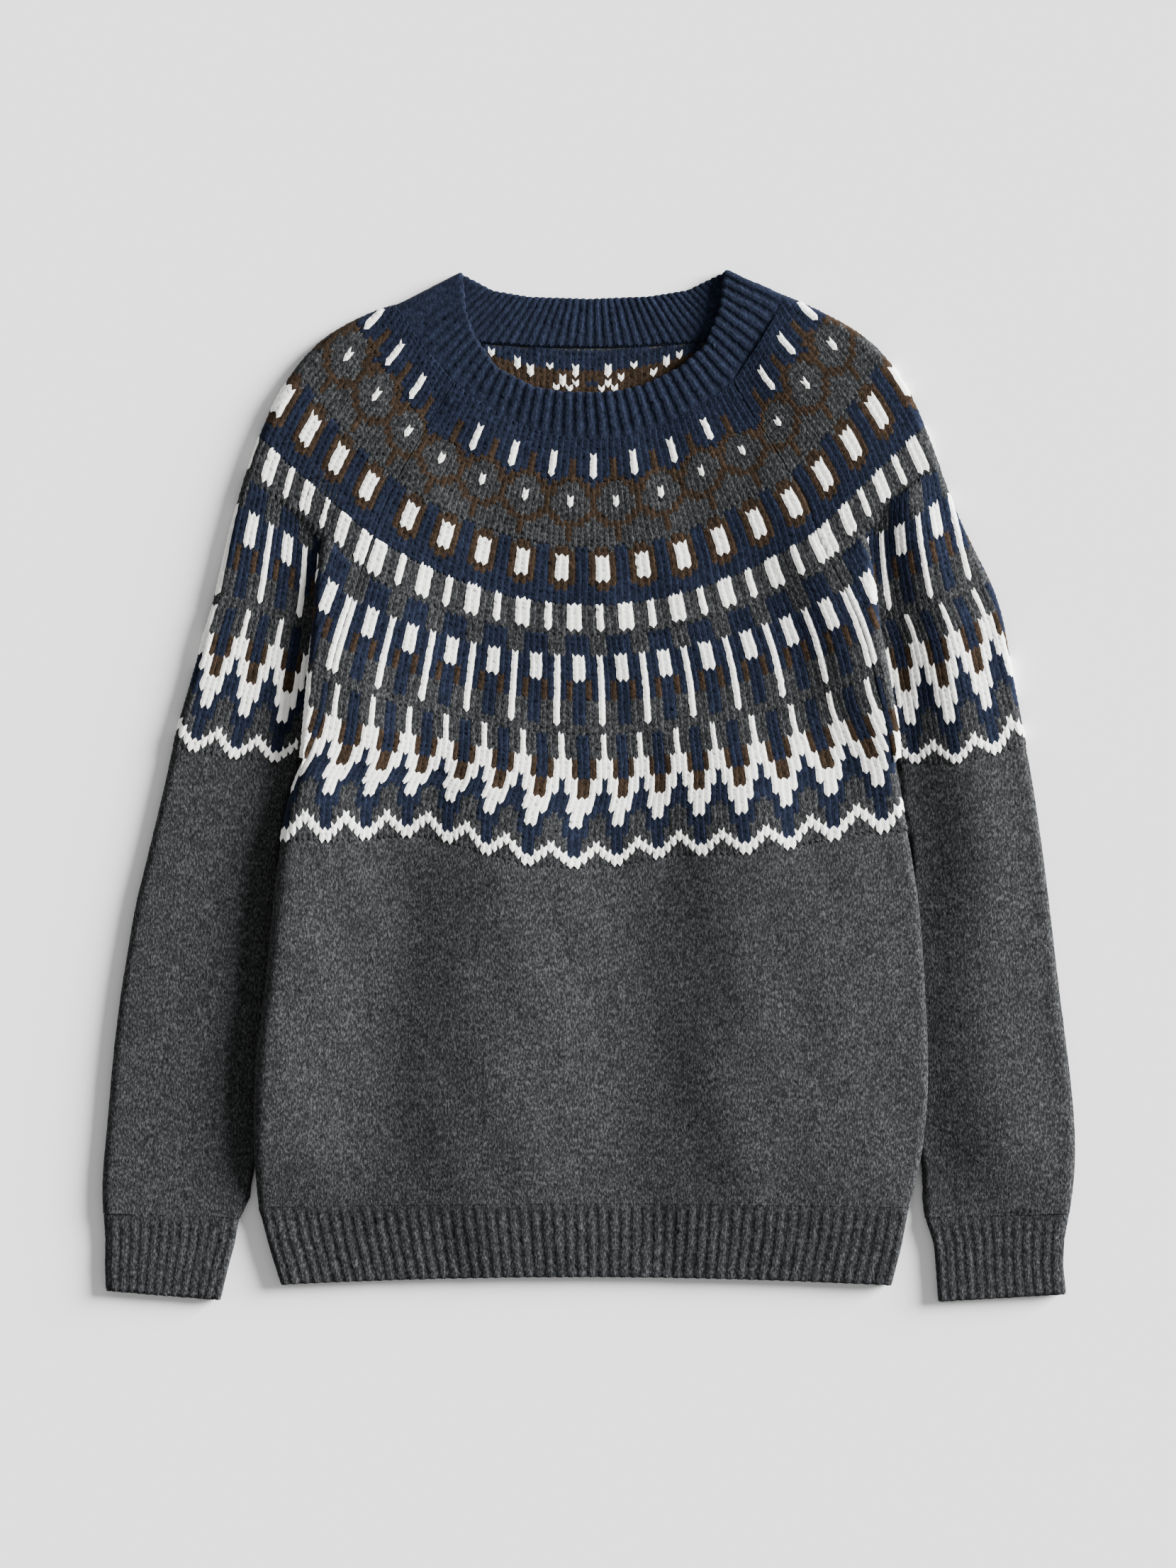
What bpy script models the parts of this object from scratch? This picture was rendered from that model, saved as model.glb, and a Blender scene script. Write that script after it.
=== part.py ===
"""A hip-length crew-neck raglan pullover of brushed wool, lying flat on its back.

The neck points to +Y, the front faces +Z, and the origin is under the middle of the garment.
Every panel is one closed wall of knitted cloth, and panels stand a small gap apart at each seam.
"""

import bpy
import numpy as np

# Cloth and seams, in millimetres
WALL = 3.0
RIB_WALL = 2.4
RIB_RAISE = 0.9
SEAM_GAP = 0.5
FLOOR_LAYER = WALL / 2
RIB_FLOOR_LAYER = RIB_WALL / 2 + RIB_RAISE

# Ribs, in millimetres from one raised rib to the next
HEM_RIB_PITCH = 7.4
CUFF_RIB_PITCH = 6.9
NECK_RIB_PITCH = 6.6

# Heights of the middle of the cloth above the surface, in millimetres
FRONT_MIDDLE = 6.8
SLEEVE_CROWN = 7.8
CUFF_TOP = 6.9
NECK_FREE = 8.4

# Tables of rows across the front: the knitted row, both ends and the middle of the row
FRONT_ROWS = np.array(
    [
        # row, left x, left y, right x, right y, middle y
        (-69, -219.3, -279.2, 212.7, -279.2, -276.8),
        (-61, -221.3, -258.0, 219.0, -258.0, -255.0),
        (-55, -222.5, -234.5, 223.0, -233.6, -232.6),
        (-47, -222.0, -208.0, 225.2, -208.0, -208.0),
        (-40, -221.1, -183.3, 225.8, -182.8, -184.2),
        (-32, -218.0, -158.0, 225.0, -158.0, -160.0),
        (-25, -214.6, -134.9, 223.5, -133.9, -135.8),
        (-12, -210.3, -88.8, 220.2, -86.0, -94.0),
        (-6, -207.4, -61.0, 216.0, -57.0, -73.0),
        (0, -204.2, -34.8, 210.8, -28.7, -53.1),
        (8, -198.1, -1.9, 205.6, 2.3, -27.3),
        (13, -188.2, 16.0, 202.0, 18.3, -10.8),
        (18, -179.4, 32.4, 198.4, 34.3, 5.6),
        (22, -174.4, 48.4, 194.2, 51.2, 18.8),
        (28, -171.3, 76.1, 188.0, 80.8, 38.5),
        (36, -164.7, 100.1, 181.2, 105.3, 64.9),
        (43, -156.7, 124.1, 169.4, 131.6, 87.9),
        (50, -145.9, 157.4, 153.0, 161.2, 110.9),
        (60, -135.1, 188.5, 144.5, 191.3, 143.8),
        (66, -124.8, 207.3, 129.5, 212.4, 163.6),
        (73, -114.0, 227.5, 118.7, 231.2, 186.6),
        (81, -102.7, 244.9, 107.9, 247.2, 212.9),
        (87, -89.5, 268.0, 95.6, 268.6, 230.2),
    ]
)

# The same across the back, whose neckline is higher and whose raglan seams are straight
BACK_ROWS = np.array(
    [
        # row, left x, left y, right x, right y, middle y
        (-69, -219.3, -279.2, 212.7, -279.2, -276.8),
        (-61, -221.3, -258.0, 219.0, -258.0, -255.0),
        (-55, -222.5, -234.5, 223.0, -233.6, -232.6),
        (-47, -222.0, -208.0, 225.2, -208.0, -208.0),
        (-40, -221.1, -183.3, 225.8, -182.8, -184.2),
        (-25, -214.6, -134.9, 223.5, -133.9, -136.5),
        (-12, -210.3, -88.8, 220.2, -86.0, -92.0),
        (-6, -207.4, -61.0, 216.0, -57.0, -66.0),
        (0, -204.2, -34.8, 210.8, -28.7, -42.0),
        (8, -198.1, -1.9, 205.6, 2.3, -12.0),
        (13, -188.2, 16.0, 202.0, 18.3, 6.0),
        (18, -183.0, 41.0, 198.5, 42.0, 30.0),
        (34, -166.2, 92.2, 179.4, 93.2, 80.0),
        (50, -149.4, 143.4, 160.3, 144.4, 132.0),
        (64, -132.6, 194.6, 141.2, 195.6, 184.0),
        (76, -115.8, 245.8, 122.1, 246.8, 238.0),
        (87, -99.0, 297.0, 103.0, 298.0, 291.0),
    ]
)

# Rows down each sleeve: the outer edge, a point part of the way in, the foot of the pleat, the body row
# whose end it is sewn to, the pleat's height above the sleeve beside it and where the back seam is
LEFT_SLEEVE_ROWS = np.array(
    [
        # outer x, y, middle x, y, foot x, y, row of the front seam, step, y of the back seam
        (-129.0, 318.2, -114.5, 298.0, -98.6, 277.2, 87, 0.0, 297.0),
        (-148.0, 311.5, -127.0, 284.0, -113.0, 262.0, 81, 0.0, 280.0),
        (-173.2, 299.4, -151.6, 271.2, -131.5, 247.0, 73, 0.0, 257.0),
        (-191.1, 282.5, -166.0, 250.0, -144.0, 227.0, 66, 0.0, 235.0),
        (-208.0, 257.1, -178.0, 226.0, -154.0, 205.0, 60, 0.0, 213.0),
        (-222.5, 222.3, -188.0, 194.0, -166.5, 175.5, 50, 0.2, 178.0),
        (-235.6, 178.0, -208.0, 163.0, -180.2, 147.6, 43, 3.6, 147.0),
        (-247.9, 131.0, -217.0, 124.0, -182.9, 111.4, 36, 4.9, 111.0),
        (-257.0, 97.0, -226.0, 92.0, -185.8, 81.3, 28, 5.6, 82.0),
        (-262.9, 73.8, -230.0, 67.7, -187.8, 58.8, 22, 6.0, 60.0),
        (-266.8, 58.3, -231.0, 50.0, -190.4, 40.0, 18, 5.4, 41.0),
        (-271.2, 44.0, -232.5, 36.0, -193.4, 27.0, 15.5, 3.4, 27.0),
    ]
)
RIGHT_SLEEVE_ROWS = np.array(
    [
        # outer x, y, middle x, y, foot x, y, row of the front seam, step, y of the back seam
        (131.5, 324.6, 119.5, 302.0, 105.0, 278.6, 87, 0.0, 298.0),
        (147.5, 317.5, 131.0, 287.0, 118.0, 265.0, 81, 0.0, 281.0),
        (173.7, 304.1, 152.0, 273.0, 134.0, 250.0, 73, 0.0, 258.0),
        (193.0, 290.0, 168.0, 256.0, 147.0, 231.0, 66, 0.0, 236.0),
        (209.5, 269.8, 180.0, 229.5, 161.0, 209.0, 60, 0.0, 214.0),
        (227.0, 227.5, 198.0, 203.0, 173.0, 180.0, 50, 0.2, 179.0),
        (241.0, 182.0, 216.0, 168.0, 188.8, 148.0, 43, 3.6, 148.0),
        (263.0, 132.0, 228.0, 125.0, 191.4, 116.0, 36, 4.9, 116.0),
        (275.5, 99.0, 236.0, 90.0, 197.0, 84.5, 28, 5.6, 84.0),
        (283.0, 66.0, 239.0, 57.0, 203.0, 55.0, 22, 5.8, 58.0),
        (286.0, 50.0, 243.0, 41.0, 206.0, 38.0, 18, 5.2, 42.0),
        (288.2, 40.0, 245.0, 32.0, 208.4, 27.0, 15.5, 3.4, 27.0),
    ]
)

# Each sleeve as a closed tube from the underarm to its cuff: outer and inner edges down its length
LEFT_TUBE = np.array(
    [
        # outer x, outer y, inner x, inner y, height near the inner edge
        (-276.1, 27.7, -190.8, 17.4, 7.8),
        (-279.6, 9.0, -198.0, 1.0, 5.4),
        (-286.0, -18.0, -204.0, -24.0, 5.4),
        (-292.5, -45.0, -207.0, -50.0, 5.4),
        (-300.5, -76.0, -203.0, -80.0, 5.4),
        (-306.0, -108.0, -193.5, -112.0, 5.4),
        (-311.6, -142.0, -194.5, -145.0, 5.4),
        (-316.5, -184.0, -200.5, -186.0, 5.4),
        (-319.6, -222.0, -214.0, -224.0, 5.4),
        (-322.4, -250.0, -223.6, -253.0, 5.4),
        (-323.6, -270.0, -225.6, -273.0, 5.4),
        (-322.6, -283.4, -232.4, -286.6, 5.4),
    ]
)
RIGHT_TUBE = np.array(
    [
        # outer x, outer y, inner x, inner y, height near the inner edge
        (289.8, 29.0, 206.0, 17.5, 7.8),
        (293.6, 9.0, 207.0, 1.0, 5.4),
        (298.2, -20.0, 211.4, -24.0, 5.4),
        (301.7, -45.0, 216.2, -49.0, 5.4),
        (305.7, -76.0, 213.0, -80.0, 5.4),
        (309.4, -108.0, 203.0, -112.0, 5.4),
        (313.4, -142.0, 200.5, -145.0, 5.4),
        (318.9, -184.0, 204.5, -186.0, 5.4),
        (322.9, -222.0, 215.0, -224.0, 5.4),
        (323.4, -250.0, 223.4, -253.0, 5.4),
        (321.6, -270.0, 222.0, -273.0, 5.4),
        (319.4, -283.4, 224.0, -286.6, 5.4),
    ]
)
LEFT_CUFF = np.array(
    [
        # outer x, outer y, inner x, inner y
        (-322.4, -284.0, -232.7, -287.2),
        (-321.3, -301.0, -235.7, -304.0),
        (-321.6, -318.0, -240.5, -322.0),
        (-321.0, -334.2, -244.8, -340.4),
    ]
)
RIGHT_CUFF = np.array(
    [
        # outer x, outer y, inner x, inner y
        (319.2, -284.0, 224.4, -287.2),
        (316.2, -301.0, 229.6, -304.0),
        (315.4, -318.0, 231.2, -322.0),
        (317.4, -337.0, 232.4, -341.8),
    ]
)

# The hem rib from the panel's edge to its free edge
HEM_ROWS = np.array(
    [
        # row, left x, left y, right x, right y, middle y
        (0, -219.2, -279.8, 212.6, -279.8, -277.4),
        (1, -212.6, -305.0, 208.0, -305.0, -301.0),
        (2, -204.7, -330.4, 201.4, -330.9, -325.2),
    ]
)

# The neckband's free edge between the two shoulder folds, first round the front and then behind
FREE_FRONT = np.array(
    [
        # x, y
        (-86.0, 339.6),
        (-82.0, 314.4),
        (-76.6, 299.0),
        (-62.0, 277.6),
        (-37.0, 264.2),
        (-17.0, 261.0),
        (3.0, 260.2),
        (19.6, 261.4),
        (37.0, 265.6),
        (61.0, 277.2),
        (77.6, 292.0),
        (87.0, 316.0),
        (92.4, 341.2),
    ]
)
FREE_BACK = np.array(
    [
        # x, y
        (92.4, 341.2),
        (66.0, 328.6),
        (40.0, 324.4),
        (0.0, 322.8),
        (-40.0, 324.2),
        (-64.0, 328.4),
        (-86.0, 339.6),
    ]
)

# Heights of the front's and back's side edges down the garment
EDGE_Y = (-345, -285, -240, -180, -60, -20, 16, 60, 110, 150, 180, 240, 330)
EDGE_FRONT = (7.4, 7.8, 14.3, 14.6, 14.6, 13.2, 11.8, 11.5, 10.8, 9.6, 8.4, 7.6, 7.4)
LIFT_Y = (-345, -292, -244, -50, 10, 330)
LIFT_BACK = (0.0, 0.0, 7.6, 7.6, 0.0, 0.0)

# Soft lengthwise folds of the front: where each lies, how wide and how high, and where it fades out
FOLDS = np.array(
    [
        # x at hem, x at chest, width, height, low y, high y
        (-158, -150, 22, 0.9, -270, -30),
        (-92, -80, 26, -0.8, -272, -70),
        (-30, -34, 24, 0.7, -268, -40),
        (36, 30, 26, -0.7, -272, -60),
        (96, 88, 24, 0.8, -266, -20),
        (160, 156, 20, -0.6, -262, -10),
        (-60, -84, 18, 0.6, -20, 150),
        (70, 92, 18, 0.5, -10, 160),
    ]
)

GREY = (0.070, 0.073, 0.078)
NAVY = (0.014, 0.024, 0.070)


def smooth(t):
    t = np.clip(t, 0, 1)
    return t * t * (3 - 2 * t)


def lookup(table, key, column):
    return np.interp(key, table[:, 0], table[:, column])


def body_edge(x, y):
    """How far a point is in from the body's side edge."""
    left = np.interp(y, FRONT_ROWS[:, 2], FRONT_ROWS[:, 1])
    right = np.interp(y, FRONT_ROWS[:, 4], FRONT_ROWS[:, 3])
    return np.minimum(x - left, right - x)


def fold_height(x, y):
    total = 0.0
    for hem_x, chest_x, width, height, low, high in FOLDS:
        along = (y - low) / (high - low)
        middle = hem_x + (chest_x - hem_x) * along
        fade = smooth(along * 3) * smooth((1 - along) * 3)
        total = total + height * fade * np.exp(-(((x - middle) / width) ** 2))
    return total


def front_height(x, y):
    side = smooth(1 - body_edge(x, y) / 120)
    edge = np.interp(y, EDGE_Y, EDGE_FRONT)
    return FRONT_MIDDLE + (edge - FRONT_MIDDLE) * side + fold_height(x, y)


def back_height(x, y, floor=FLOOR_LAYER):
    side = smooth((88 - body_edge(x, y)) / 56)
    return floor + np.interp(y, LIFT_Y, LIFT_BACK) * side


def material(name, colour, roughness):
    made = bpy.data.materials.new(name)
    made.use_nodes = True
    shader = made.node_tree.nodes["Principled BSDF"]
    shader.inputs["Base Color"].default_value = (*colour, 1)
    shader.inputs["Roughness"].default_value = roughness
    shader.inputs["Metallic"].default_value = 0
    made.diffuse_color = (*colour, 1)
    return made


def directions(grid, closed):
    """Unit normals of a grid of points, from the differences along it and across it."""
    if closed:
        across = np.roll(grid, -1, 1) - np.roll(grid, 1, 1)
    else:
        across = np.gradient(grid, axis=1)
    along = np.gradient(grid, axis=0)
    normal = np.cross(across, along)
    return normal / np.linalg.norm(normal, axis=2, keepdims=True)


def wall(name, grid, thickness, paint, collection, closed=False, raised=0.0, ends=None):
    """One closed wall of cloth: a grid of mid-points moved out and in by half the thickness.

    ends gives the way each row's first and last point face, as a seam's edges stand square to it.
    """
    normal = directions(grid, closed)
    facing_up = -1.0 if "back" in name else 1.0
    normal = normal * np.sign(normal[1, grid.shape[1] // 4, 2]) * facing_up
    if ends is not None:
        normal[:, 0] = ends[:, 0]
        normal[:, -1] = ends[:, 1]
    outer = grid + normal * (thickness / 2 + raised)
    inner = grid - normal * (thickness / 2)
    rows, columns = grid.shape[:2]
    index = np.arange(rows * columns).reshape(rows, columns)
    under = index + rows * columns
    faces = []
    last = columns if closed else columns - 1
    for i in range(rows - 1):
        for j in range(last):
            k = (j + 1) % columns
            faces.append((index[i, j], index[i, k], index[i + 1, k], index[i + 1, j]))
            faces.append((under[i + 1, j], under[i + 1, k], under[i, k], under[i, j]))
    for j in range(last):
        k = (j + 1) % columns
        faces.append((index[0, k], index[0, j], under[0, j], under[0, k]))
        faces.append((index[-1, j], index[-1, k], under[-1, k], under[-1, j]))
    if not closed:
        for i in range(rows - 1):
            faces.append((index[i, 0], index[i + 1, 0], under[i + 1, 0], under[i, 0]))
            faces.append((index[i + 1, -1], index[i, -1], under[i, -1], under[i + 1, -1]))
    points = np.concatenate([outer.reshape(-1, 3), inner.reshape(-1, 3)]) / 1000
    mesh = bpy.data.meshes.new(name)
    mesh.from_pydata(points.tolist(), [], [tuple(int(v) for v in face) for face in faces])
    a, b, c, d = (points[[face[n] for face in faces]] for n in range(4))
    volume = (np.cross(a, b) * c).sum() + (np.cross(a, c) * d).sum()
    if volume < 0:
        mesh.flip_normals()
    mesh.materials.append(paint)
    obj = bpy.data.objects.new(name, mesh)
    collection.objects.link(obj)
    return obj


def row_line(table, row, across):
    """Points along one knitted row, where across runs from -1 at the left end to 1 at the right."""
    left_x, left_y, right_x, right_y, middle_y = (lookup(table, row, n) for n in range(1, 6))
    share = (across + 1) / 2
    x = left_x + (right_x - left_x) * share
    bow = middle_y - (left_y + right_y) / 2
    y = left_y + (right_y - left_y) * share + bow * (1 - across**2)
    return x, y


TURN = np.radians((3, 35, 65, 90))


def panel_grid(table, rows, inner_columns, height, other, is_front, thickness, turned):
    """A body panel: rows of points whose side edges turn down, or up, to the side seams."""
    grid = []
    for row in rows:
        ends = row_line(table, row, np.array([-1.0, 1.0]))
        inset = thickness / 2 * turned(row)
        left = ends[0][0] + inset
        right = ends[0][1] - inset
        middles = []
        for x, y in ((left, ends[1][0]), (right, ends[1][1])):
            middles.append(abs(height(x, y) - other(x, y)) / 2)
        at_left = left + middles[0] * (1 - np.cos(TURN))
        at_right = right - middles[1] * (1 - np.cos(TURN))
        between = np.linspace(at_left[-1], at_right[-1], inner_columns + 2)[1:-1]
        x = np.concatenate([at_left, between, at_right[::-1]])
        across = (x - ends[0][0]) / (ends[0][1] - ends[0][0]) * 2 - 1
        y = row_line(table, row, across)[1]
        z = height(x, y)
        drop = np.zeros_like(x)
        drop[:4] = middles[0] * (1 - np.sin(TURN))
        drop[-4:] = (middles[1] * (1 - np.sin(TURN)))[::-1]
        drop = drop * turned(row)
        grid.append(np.stack([x, y, z - drop if is_front else z + drop], 1))
    return np.array(grid)


def body_turn(row):
    """1 where the panel's side is a side seam and 0 where it is a raglan seam."""
    return float(1 - smooth((row - 8) / 9))


def panel_ends(rows, is_front, turned):
    ends = []
    for row in rows:
        share = turned(row)
        pair = []
        for side in (-1.0, 1.0):
            way = np.array([side * share, 0, (1 - share) * (1 if is_front else -1)])
            pair.append(way / np.linalg.norm(way))
        ends.append(pair)
    return np.array(ends)


def body_panel(name, table, columns, height, other, is_front, paint, collection):
    rows = table[:, 0]
    grid = panel_grid(table, rows, columns, height, other, is_front, WALL, body_turn)
    ends = panel_ends(rows, is_front, body_turn)
    return wall(name, grid, WALL, paint, collection, ends=ends)


def hem_turn(row):
    return 1.0


def hem_rib(name, is_front, paint, collection):
    count = int(round(420 / HEM_RIB_PITCH)) * 2 - 1
    if is_front:
        height, other = front_height, lambda x, y: back_height(x, y, RIB_FLOOR_LAYER)
    else:
        height, other = lambda x, y: back_height(x, y, RIB_FLOOR_LAYER), front_height
    rows = HEM_ROWS[::-1, 0]
    grid = panel_grid(HEM_ROWS, rows, count, height, other, is_front, RIB_WALL, hem_turn)
    raised = np.zeros(grid.shape[:2])
    raised[:, 4:-4:2] = RIB_RAISE
    ends = panel_ends(rows, is_front, hem_turn)
    return wall(name, grid, RIB_WALL, paint, collection, raised=raised[..., None], ends=ends)


def curve_through(points, shares):
    """A smooth line through a few points, by their distance along it."""
    steps = np.linalg.norm(np.diff(points, axis=0), axis=1)
    at = np.concatenate([[0], np.cumsum(steps)]) / steps.sum()
    out = np.zeros((len(shares), points.shape[1]))
    slope = np.gradient(points, at, axis=0)
    for n, share in enumerate(shares):
        k = min(int(np.searchsorted(at, share, side="right")) - 1, len(at) - 2)
        h = at[k + 1] - at[k]
        t = (share - at[k]) / h
        a = (2 * t**3 - 3 * t**2 + 1) * points[k] + (t**3 - 2 * t**2 + t) * h * slope[k]
        b = (3 * t**2 - 2 * t**3) * points[k + 1] + (t**3 - t**2) * h * slope[k + 1]
        out[n] = a + b
    return out


def sleeve_row_open(row, side):
    """Points round an upper sleeve row: front seam, pleat, outer edge and back seam."""
    ox, oy, mx, my, fx, fy, seam_row, step, back_y = row
    column = 1 if side < 0 else 3
    seam = np.array([lookup(FRONT_ROWS, seam_row, column), lookup(FRONT_ROWS, seam_row, column + 1)])
    seam_height = front_height(*seam)
    at_underarm = 0.9 if seam_row < 16 else 0.0
    seam[0] += (SEAM_GAP + at_underarm) * side
    back = np.array([np.interp(back_y, BACK_ROWS[:, column + 1], BACK_ROWS[:, column]), back_y])
    back[0] += (SEAM_GAP + at_underarm) * side
    top = np.array([fx - side * 2.2, fy - 0.4])
    low = seam_height - step
    radius = (SLEEVE_CROWN - FLOOR_LAYER) / 2
    outer = (ox - side * WALL / 2, oy)
    line = curve_through(np.array([(fx, fy), (mx, my), outer]), np.linspace(0, 1, 8))
    inward = (line[-2] - line[-1]) / np.linalg.norm(line[-2] - line[-1])
    top_height = seam_height if step > 0.3 else (seam_height + low) / 2
    points = [(*seam, seam_height), (*(seam * 0.5 + top * 0.5), seam_height), (*top, top_height)]
    rise = smooth(np.linspace(0, 1.6, 8))
    for n in range(6):
        points.append((*line[n], low + (SLEEVE_CROWN - low) * rise[n]))
    points.append((*(line[6] * 0.6 + (line[-1] + inward * radius) * 0.4), SLEEVE_CROWN))
    points.extend(turn_points(line[-1], inward, SLEEVE_CROWN, FLOOR_LAYER, radius))
    for share in (0.16, 0.36, 0.56, 0.76, 0.9, 1.0):
        points.append((*(line[-1] * (1 - share) + back * share), FLOOR_LAYER))
    return points


def turn_points(edge, inward, top, bottom, radius):
    points = []
    for angle in np.radians((62, 22, -22, -62)):
        place = edge + inward * radius * (1 - np.cos(angle))
        points.append((*place, (top + bottom) / 2 + radius * np.sin(angle)))
    return points


def sleeve_row_tube(row, side, low, crown=SLEEVE_CROWN, floor=FLOOR_LAYER, wall_size=WALL):
    """Points round a closed sleeve row, from the underarm seam over the top and back under."""
    outer = np.array([row[0] - side * wall_size / 2, row[1]])
    inner = np.array([row[2], row[3]])
    inward = (inner - outer) / np.linalg.norm(inner - outer)
    radius = (crown - floor) / 2
    small = (low - floor) / 2
    middle = (low + floor) / 2
    points = []
    for angle in np.radians((6, 48, 90)):
        place = inner - inward * small * (1 - np.cos(angle))
        points.append((*place, middle + small * np.sin(angle)))
    start = inner - inward * 9
    end = outer + inward * radius
    for n in range(7):
        share = n / 6 * 0.98
        rise = smooth(n / 6 * 1.4)
        points.append((*(start * (1 - share) + end * share), low + (crown - low) * rise))
    points.extend(turn_points(outer, inward, crown, floor, radius))
    back_start = outer + inward * (radius + 4)
    back_end = inner - inward * 9
    for share in (0.0, 0.4, 0.75, 1.0):
        points.append((*(back_start * (1 - share) + back_end * share), floor))
    points.append((*(inner - inward * small), floor))
    points.append((*inner, middle - small * np.sin(np.radians(6))))
    return points


def sleeve(name, side, open_rows, tube_rows, paint, collection):
    rows = [sleeve_row_open(row, side) for row in open_rows]
    rows += [sleeve_row_tube(row, side, row[4]) for row in tube_rows]
    ends = [((0.0, 0.0, 1.0), (0.0, 0.0, -1.0))] * (len(open_rows) - 1)
    ends += [((-side * 0.45, 0.0, 0.89), (-side * 0.45, 0.0, -0.89))]
    ends += [((-side, 0.0, 0.0), (-side, 0.0, 0.0))] * len(tube_rows)
    grid = np.array(rows)[::-1]
    wall(name, grid, WALL, paint, collection, ends=np.array(ends, float)[::-1])
    return np.array(rows[0])


def loop_between(points, spacing, count):
    """Points evenly spaced along a line, by their distance apart or by their number."""
    steps = np.linalg.norm(np.diff(points, axis=0), axis=1)
    at = np.concatenate([[0], np.cumsum(steps)])
    if not count:
        count = int(round(at[-1] / spacing / 2)) * 2 + 1
    where = np.linspace(0, at[-1], count)
    return np.stack([np.interp(where, at, points[:, n]) for n in range(3)], 1)


def cuff(name, side, table, paint, collection):
    """A ribbed band round the wrist, open by a small gap along its seam."""
    grid = []
    for row in table:
        loop = sleeve_row_tube(row, side, 6.4, CUFF_TOP, RIB_FLOOR_LAYER, RIB_WALL + RIB_RAISE)
        spacing = CUFF_RIB_PITCH / 2 if not grid else None
        grid.append(loop_between(np.array(loop), spacing, len(grid[0]) if grid else 0))
    grid = np.array(grid)[::-1]
    raised = np.zeros(grid.shape[:2])
    raised[:, 1:-1:2] = RIB_RAISE
    ends = np.tile(np.array([-side, 0.0, 0.0]), (len(table), 2, 1))
    wall(name, grid, RIB_WALL, paint, collection, raised=raised[..., None], ends=ends)


def half_edge(points, count):
    return loop_between(np.array(points), None, count)


def neckband(left_top, right_top, paint, collection):
    """A ribbed ring: flat on the front, folded over at both shoulders and flat behind the nape."""
    across = np.linspace(-1, 1, 15)
    front_x, front_y = row_line(FRONT_ROWS, 87, across)
    back_x, back_y = row_line(BACK_ROWS, 87, across[::-1])
    front = np.stack([front_x, front_y, front_height(front_x, front_y)], 1)
    back = np.stack([back_x, back_y, np.full(15, RIB_FLOOR_LAYER)], 1)
    split = 12
    front_seam = np.concatenate([left_top[split - 1 :: -1], front[1:-1], right_top[:split]])
    back_seam = np.concatenate([right_top[split:], back[1:-1], left_top[: split - 1 : -1]])
    middle = np.array([3.0, 292.0])
    for seam in (front_seam, back_seam):
        inward = middle - seam[:, :2]
        seam[:, :2] += inward / np.linalg.norm(inward, axis=1, keepdims=True) * SEAM_GAP * 2.4
        seam[:, 2] = np.maximum(seam[:, 2], RIB_FLOOR_LAYER)
    free_front = np.column_stack([FREE_FRONT, np.full(len(FREE_FRONT), NECK_FREE)])
    free_back = np.column_stack([FREE_BACK, np.full(len(FREE_BACK), RIB_FLOOR_LAYER)])
    radius = (NECK_FREE - RIB_FLOOR_LAYER) / 2
    folds = []
    for side in (-1, 1):
        tip = FREE_FRONT[0] if side < 0 else FREE_FRONT[-1]
        inward = np.array([-side * 0.97, -0.24])
        edge = tip - inward * (1.4 - WALL / 2)
        folds.append(np.array(turn_points(edge, inward, NECK_FREE, RIB_FLOOR_LAYER, radius)))
    free_front = np.concatenate([folds[0][1::-1], free_front[1:-1], folds[1][:2]])
    free_back = np.concatenate([folds[1][2:], free_back[1:-1], folds[0][:1:-1]])
    length = np.linalg.norm(np.diff(front_seam, axis=0), axis=1).sum()
    half = int(round(length / NECK_RIB_PITCH)) * 2
    rows = []
    for share in (0.0, 0.5, 1.0):
        whole = []
        for seam, free in ((front_seam, free_front), (back_seam, free_back)):
            a = half_edge(seam, half)
            b = half_edge(free, half)
            whole.append(a * (1 - share) + b * share)
        rows.append(np.concatenate(whole))
    grid = np.array(rows)
    raised = np.zeros(grid.shape[:2])
    raised[:, ::2] = RIB_RAISE
    wall("neckband", grid, RIB_WALL, paint, collection, closed=True, raised=raised[..., None])


def main():
    for obj in list(bpy.data.objects):
        bpy.data.objects.remove(obj, do_unlink=True)
    collection = bpy.data.collections.new("sweater")
    bpy.context.scene.collection.children.link(collection)
    grey = material("grey_wool", GREY, 0.95)
    yoke = material("yoke_wool", GREY, 0.95)
    navy = material("navy_wool", NAVY, 0.95)
    rib = material("grey_rib", GREY, 0.95)

    body_panel("front_panel", FRONT_ROWS, 15, front_height, back_height, True, yoke, collection)
    body_panel("back_panel", BACK_ROWS, 15, back_height, front_height, False, grey, collection)
    left_top = sleeve("sleeve_left", -1, LEFT_SLEEVE_ROWS, LEFT_TUBE, yoke, collection)
    right_top = sleeve("sleeve_right", 1, RIGHT_SLEEVE_ROWS, RIGHT_TUBE, yoke, collection)
    hem_rib("hem_rib_front", True, rib, collection)
    hem_rib("hem_rib_back", False, rib, collection)
    cuff("cuff_left", -1, LEFT_CUFF, rib, collection)
    cuff("cuff_right", 1, RIGHT_CUFF, rib, collection)
    neckband(left_top, right_top, navy, collection)


main()
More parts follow.
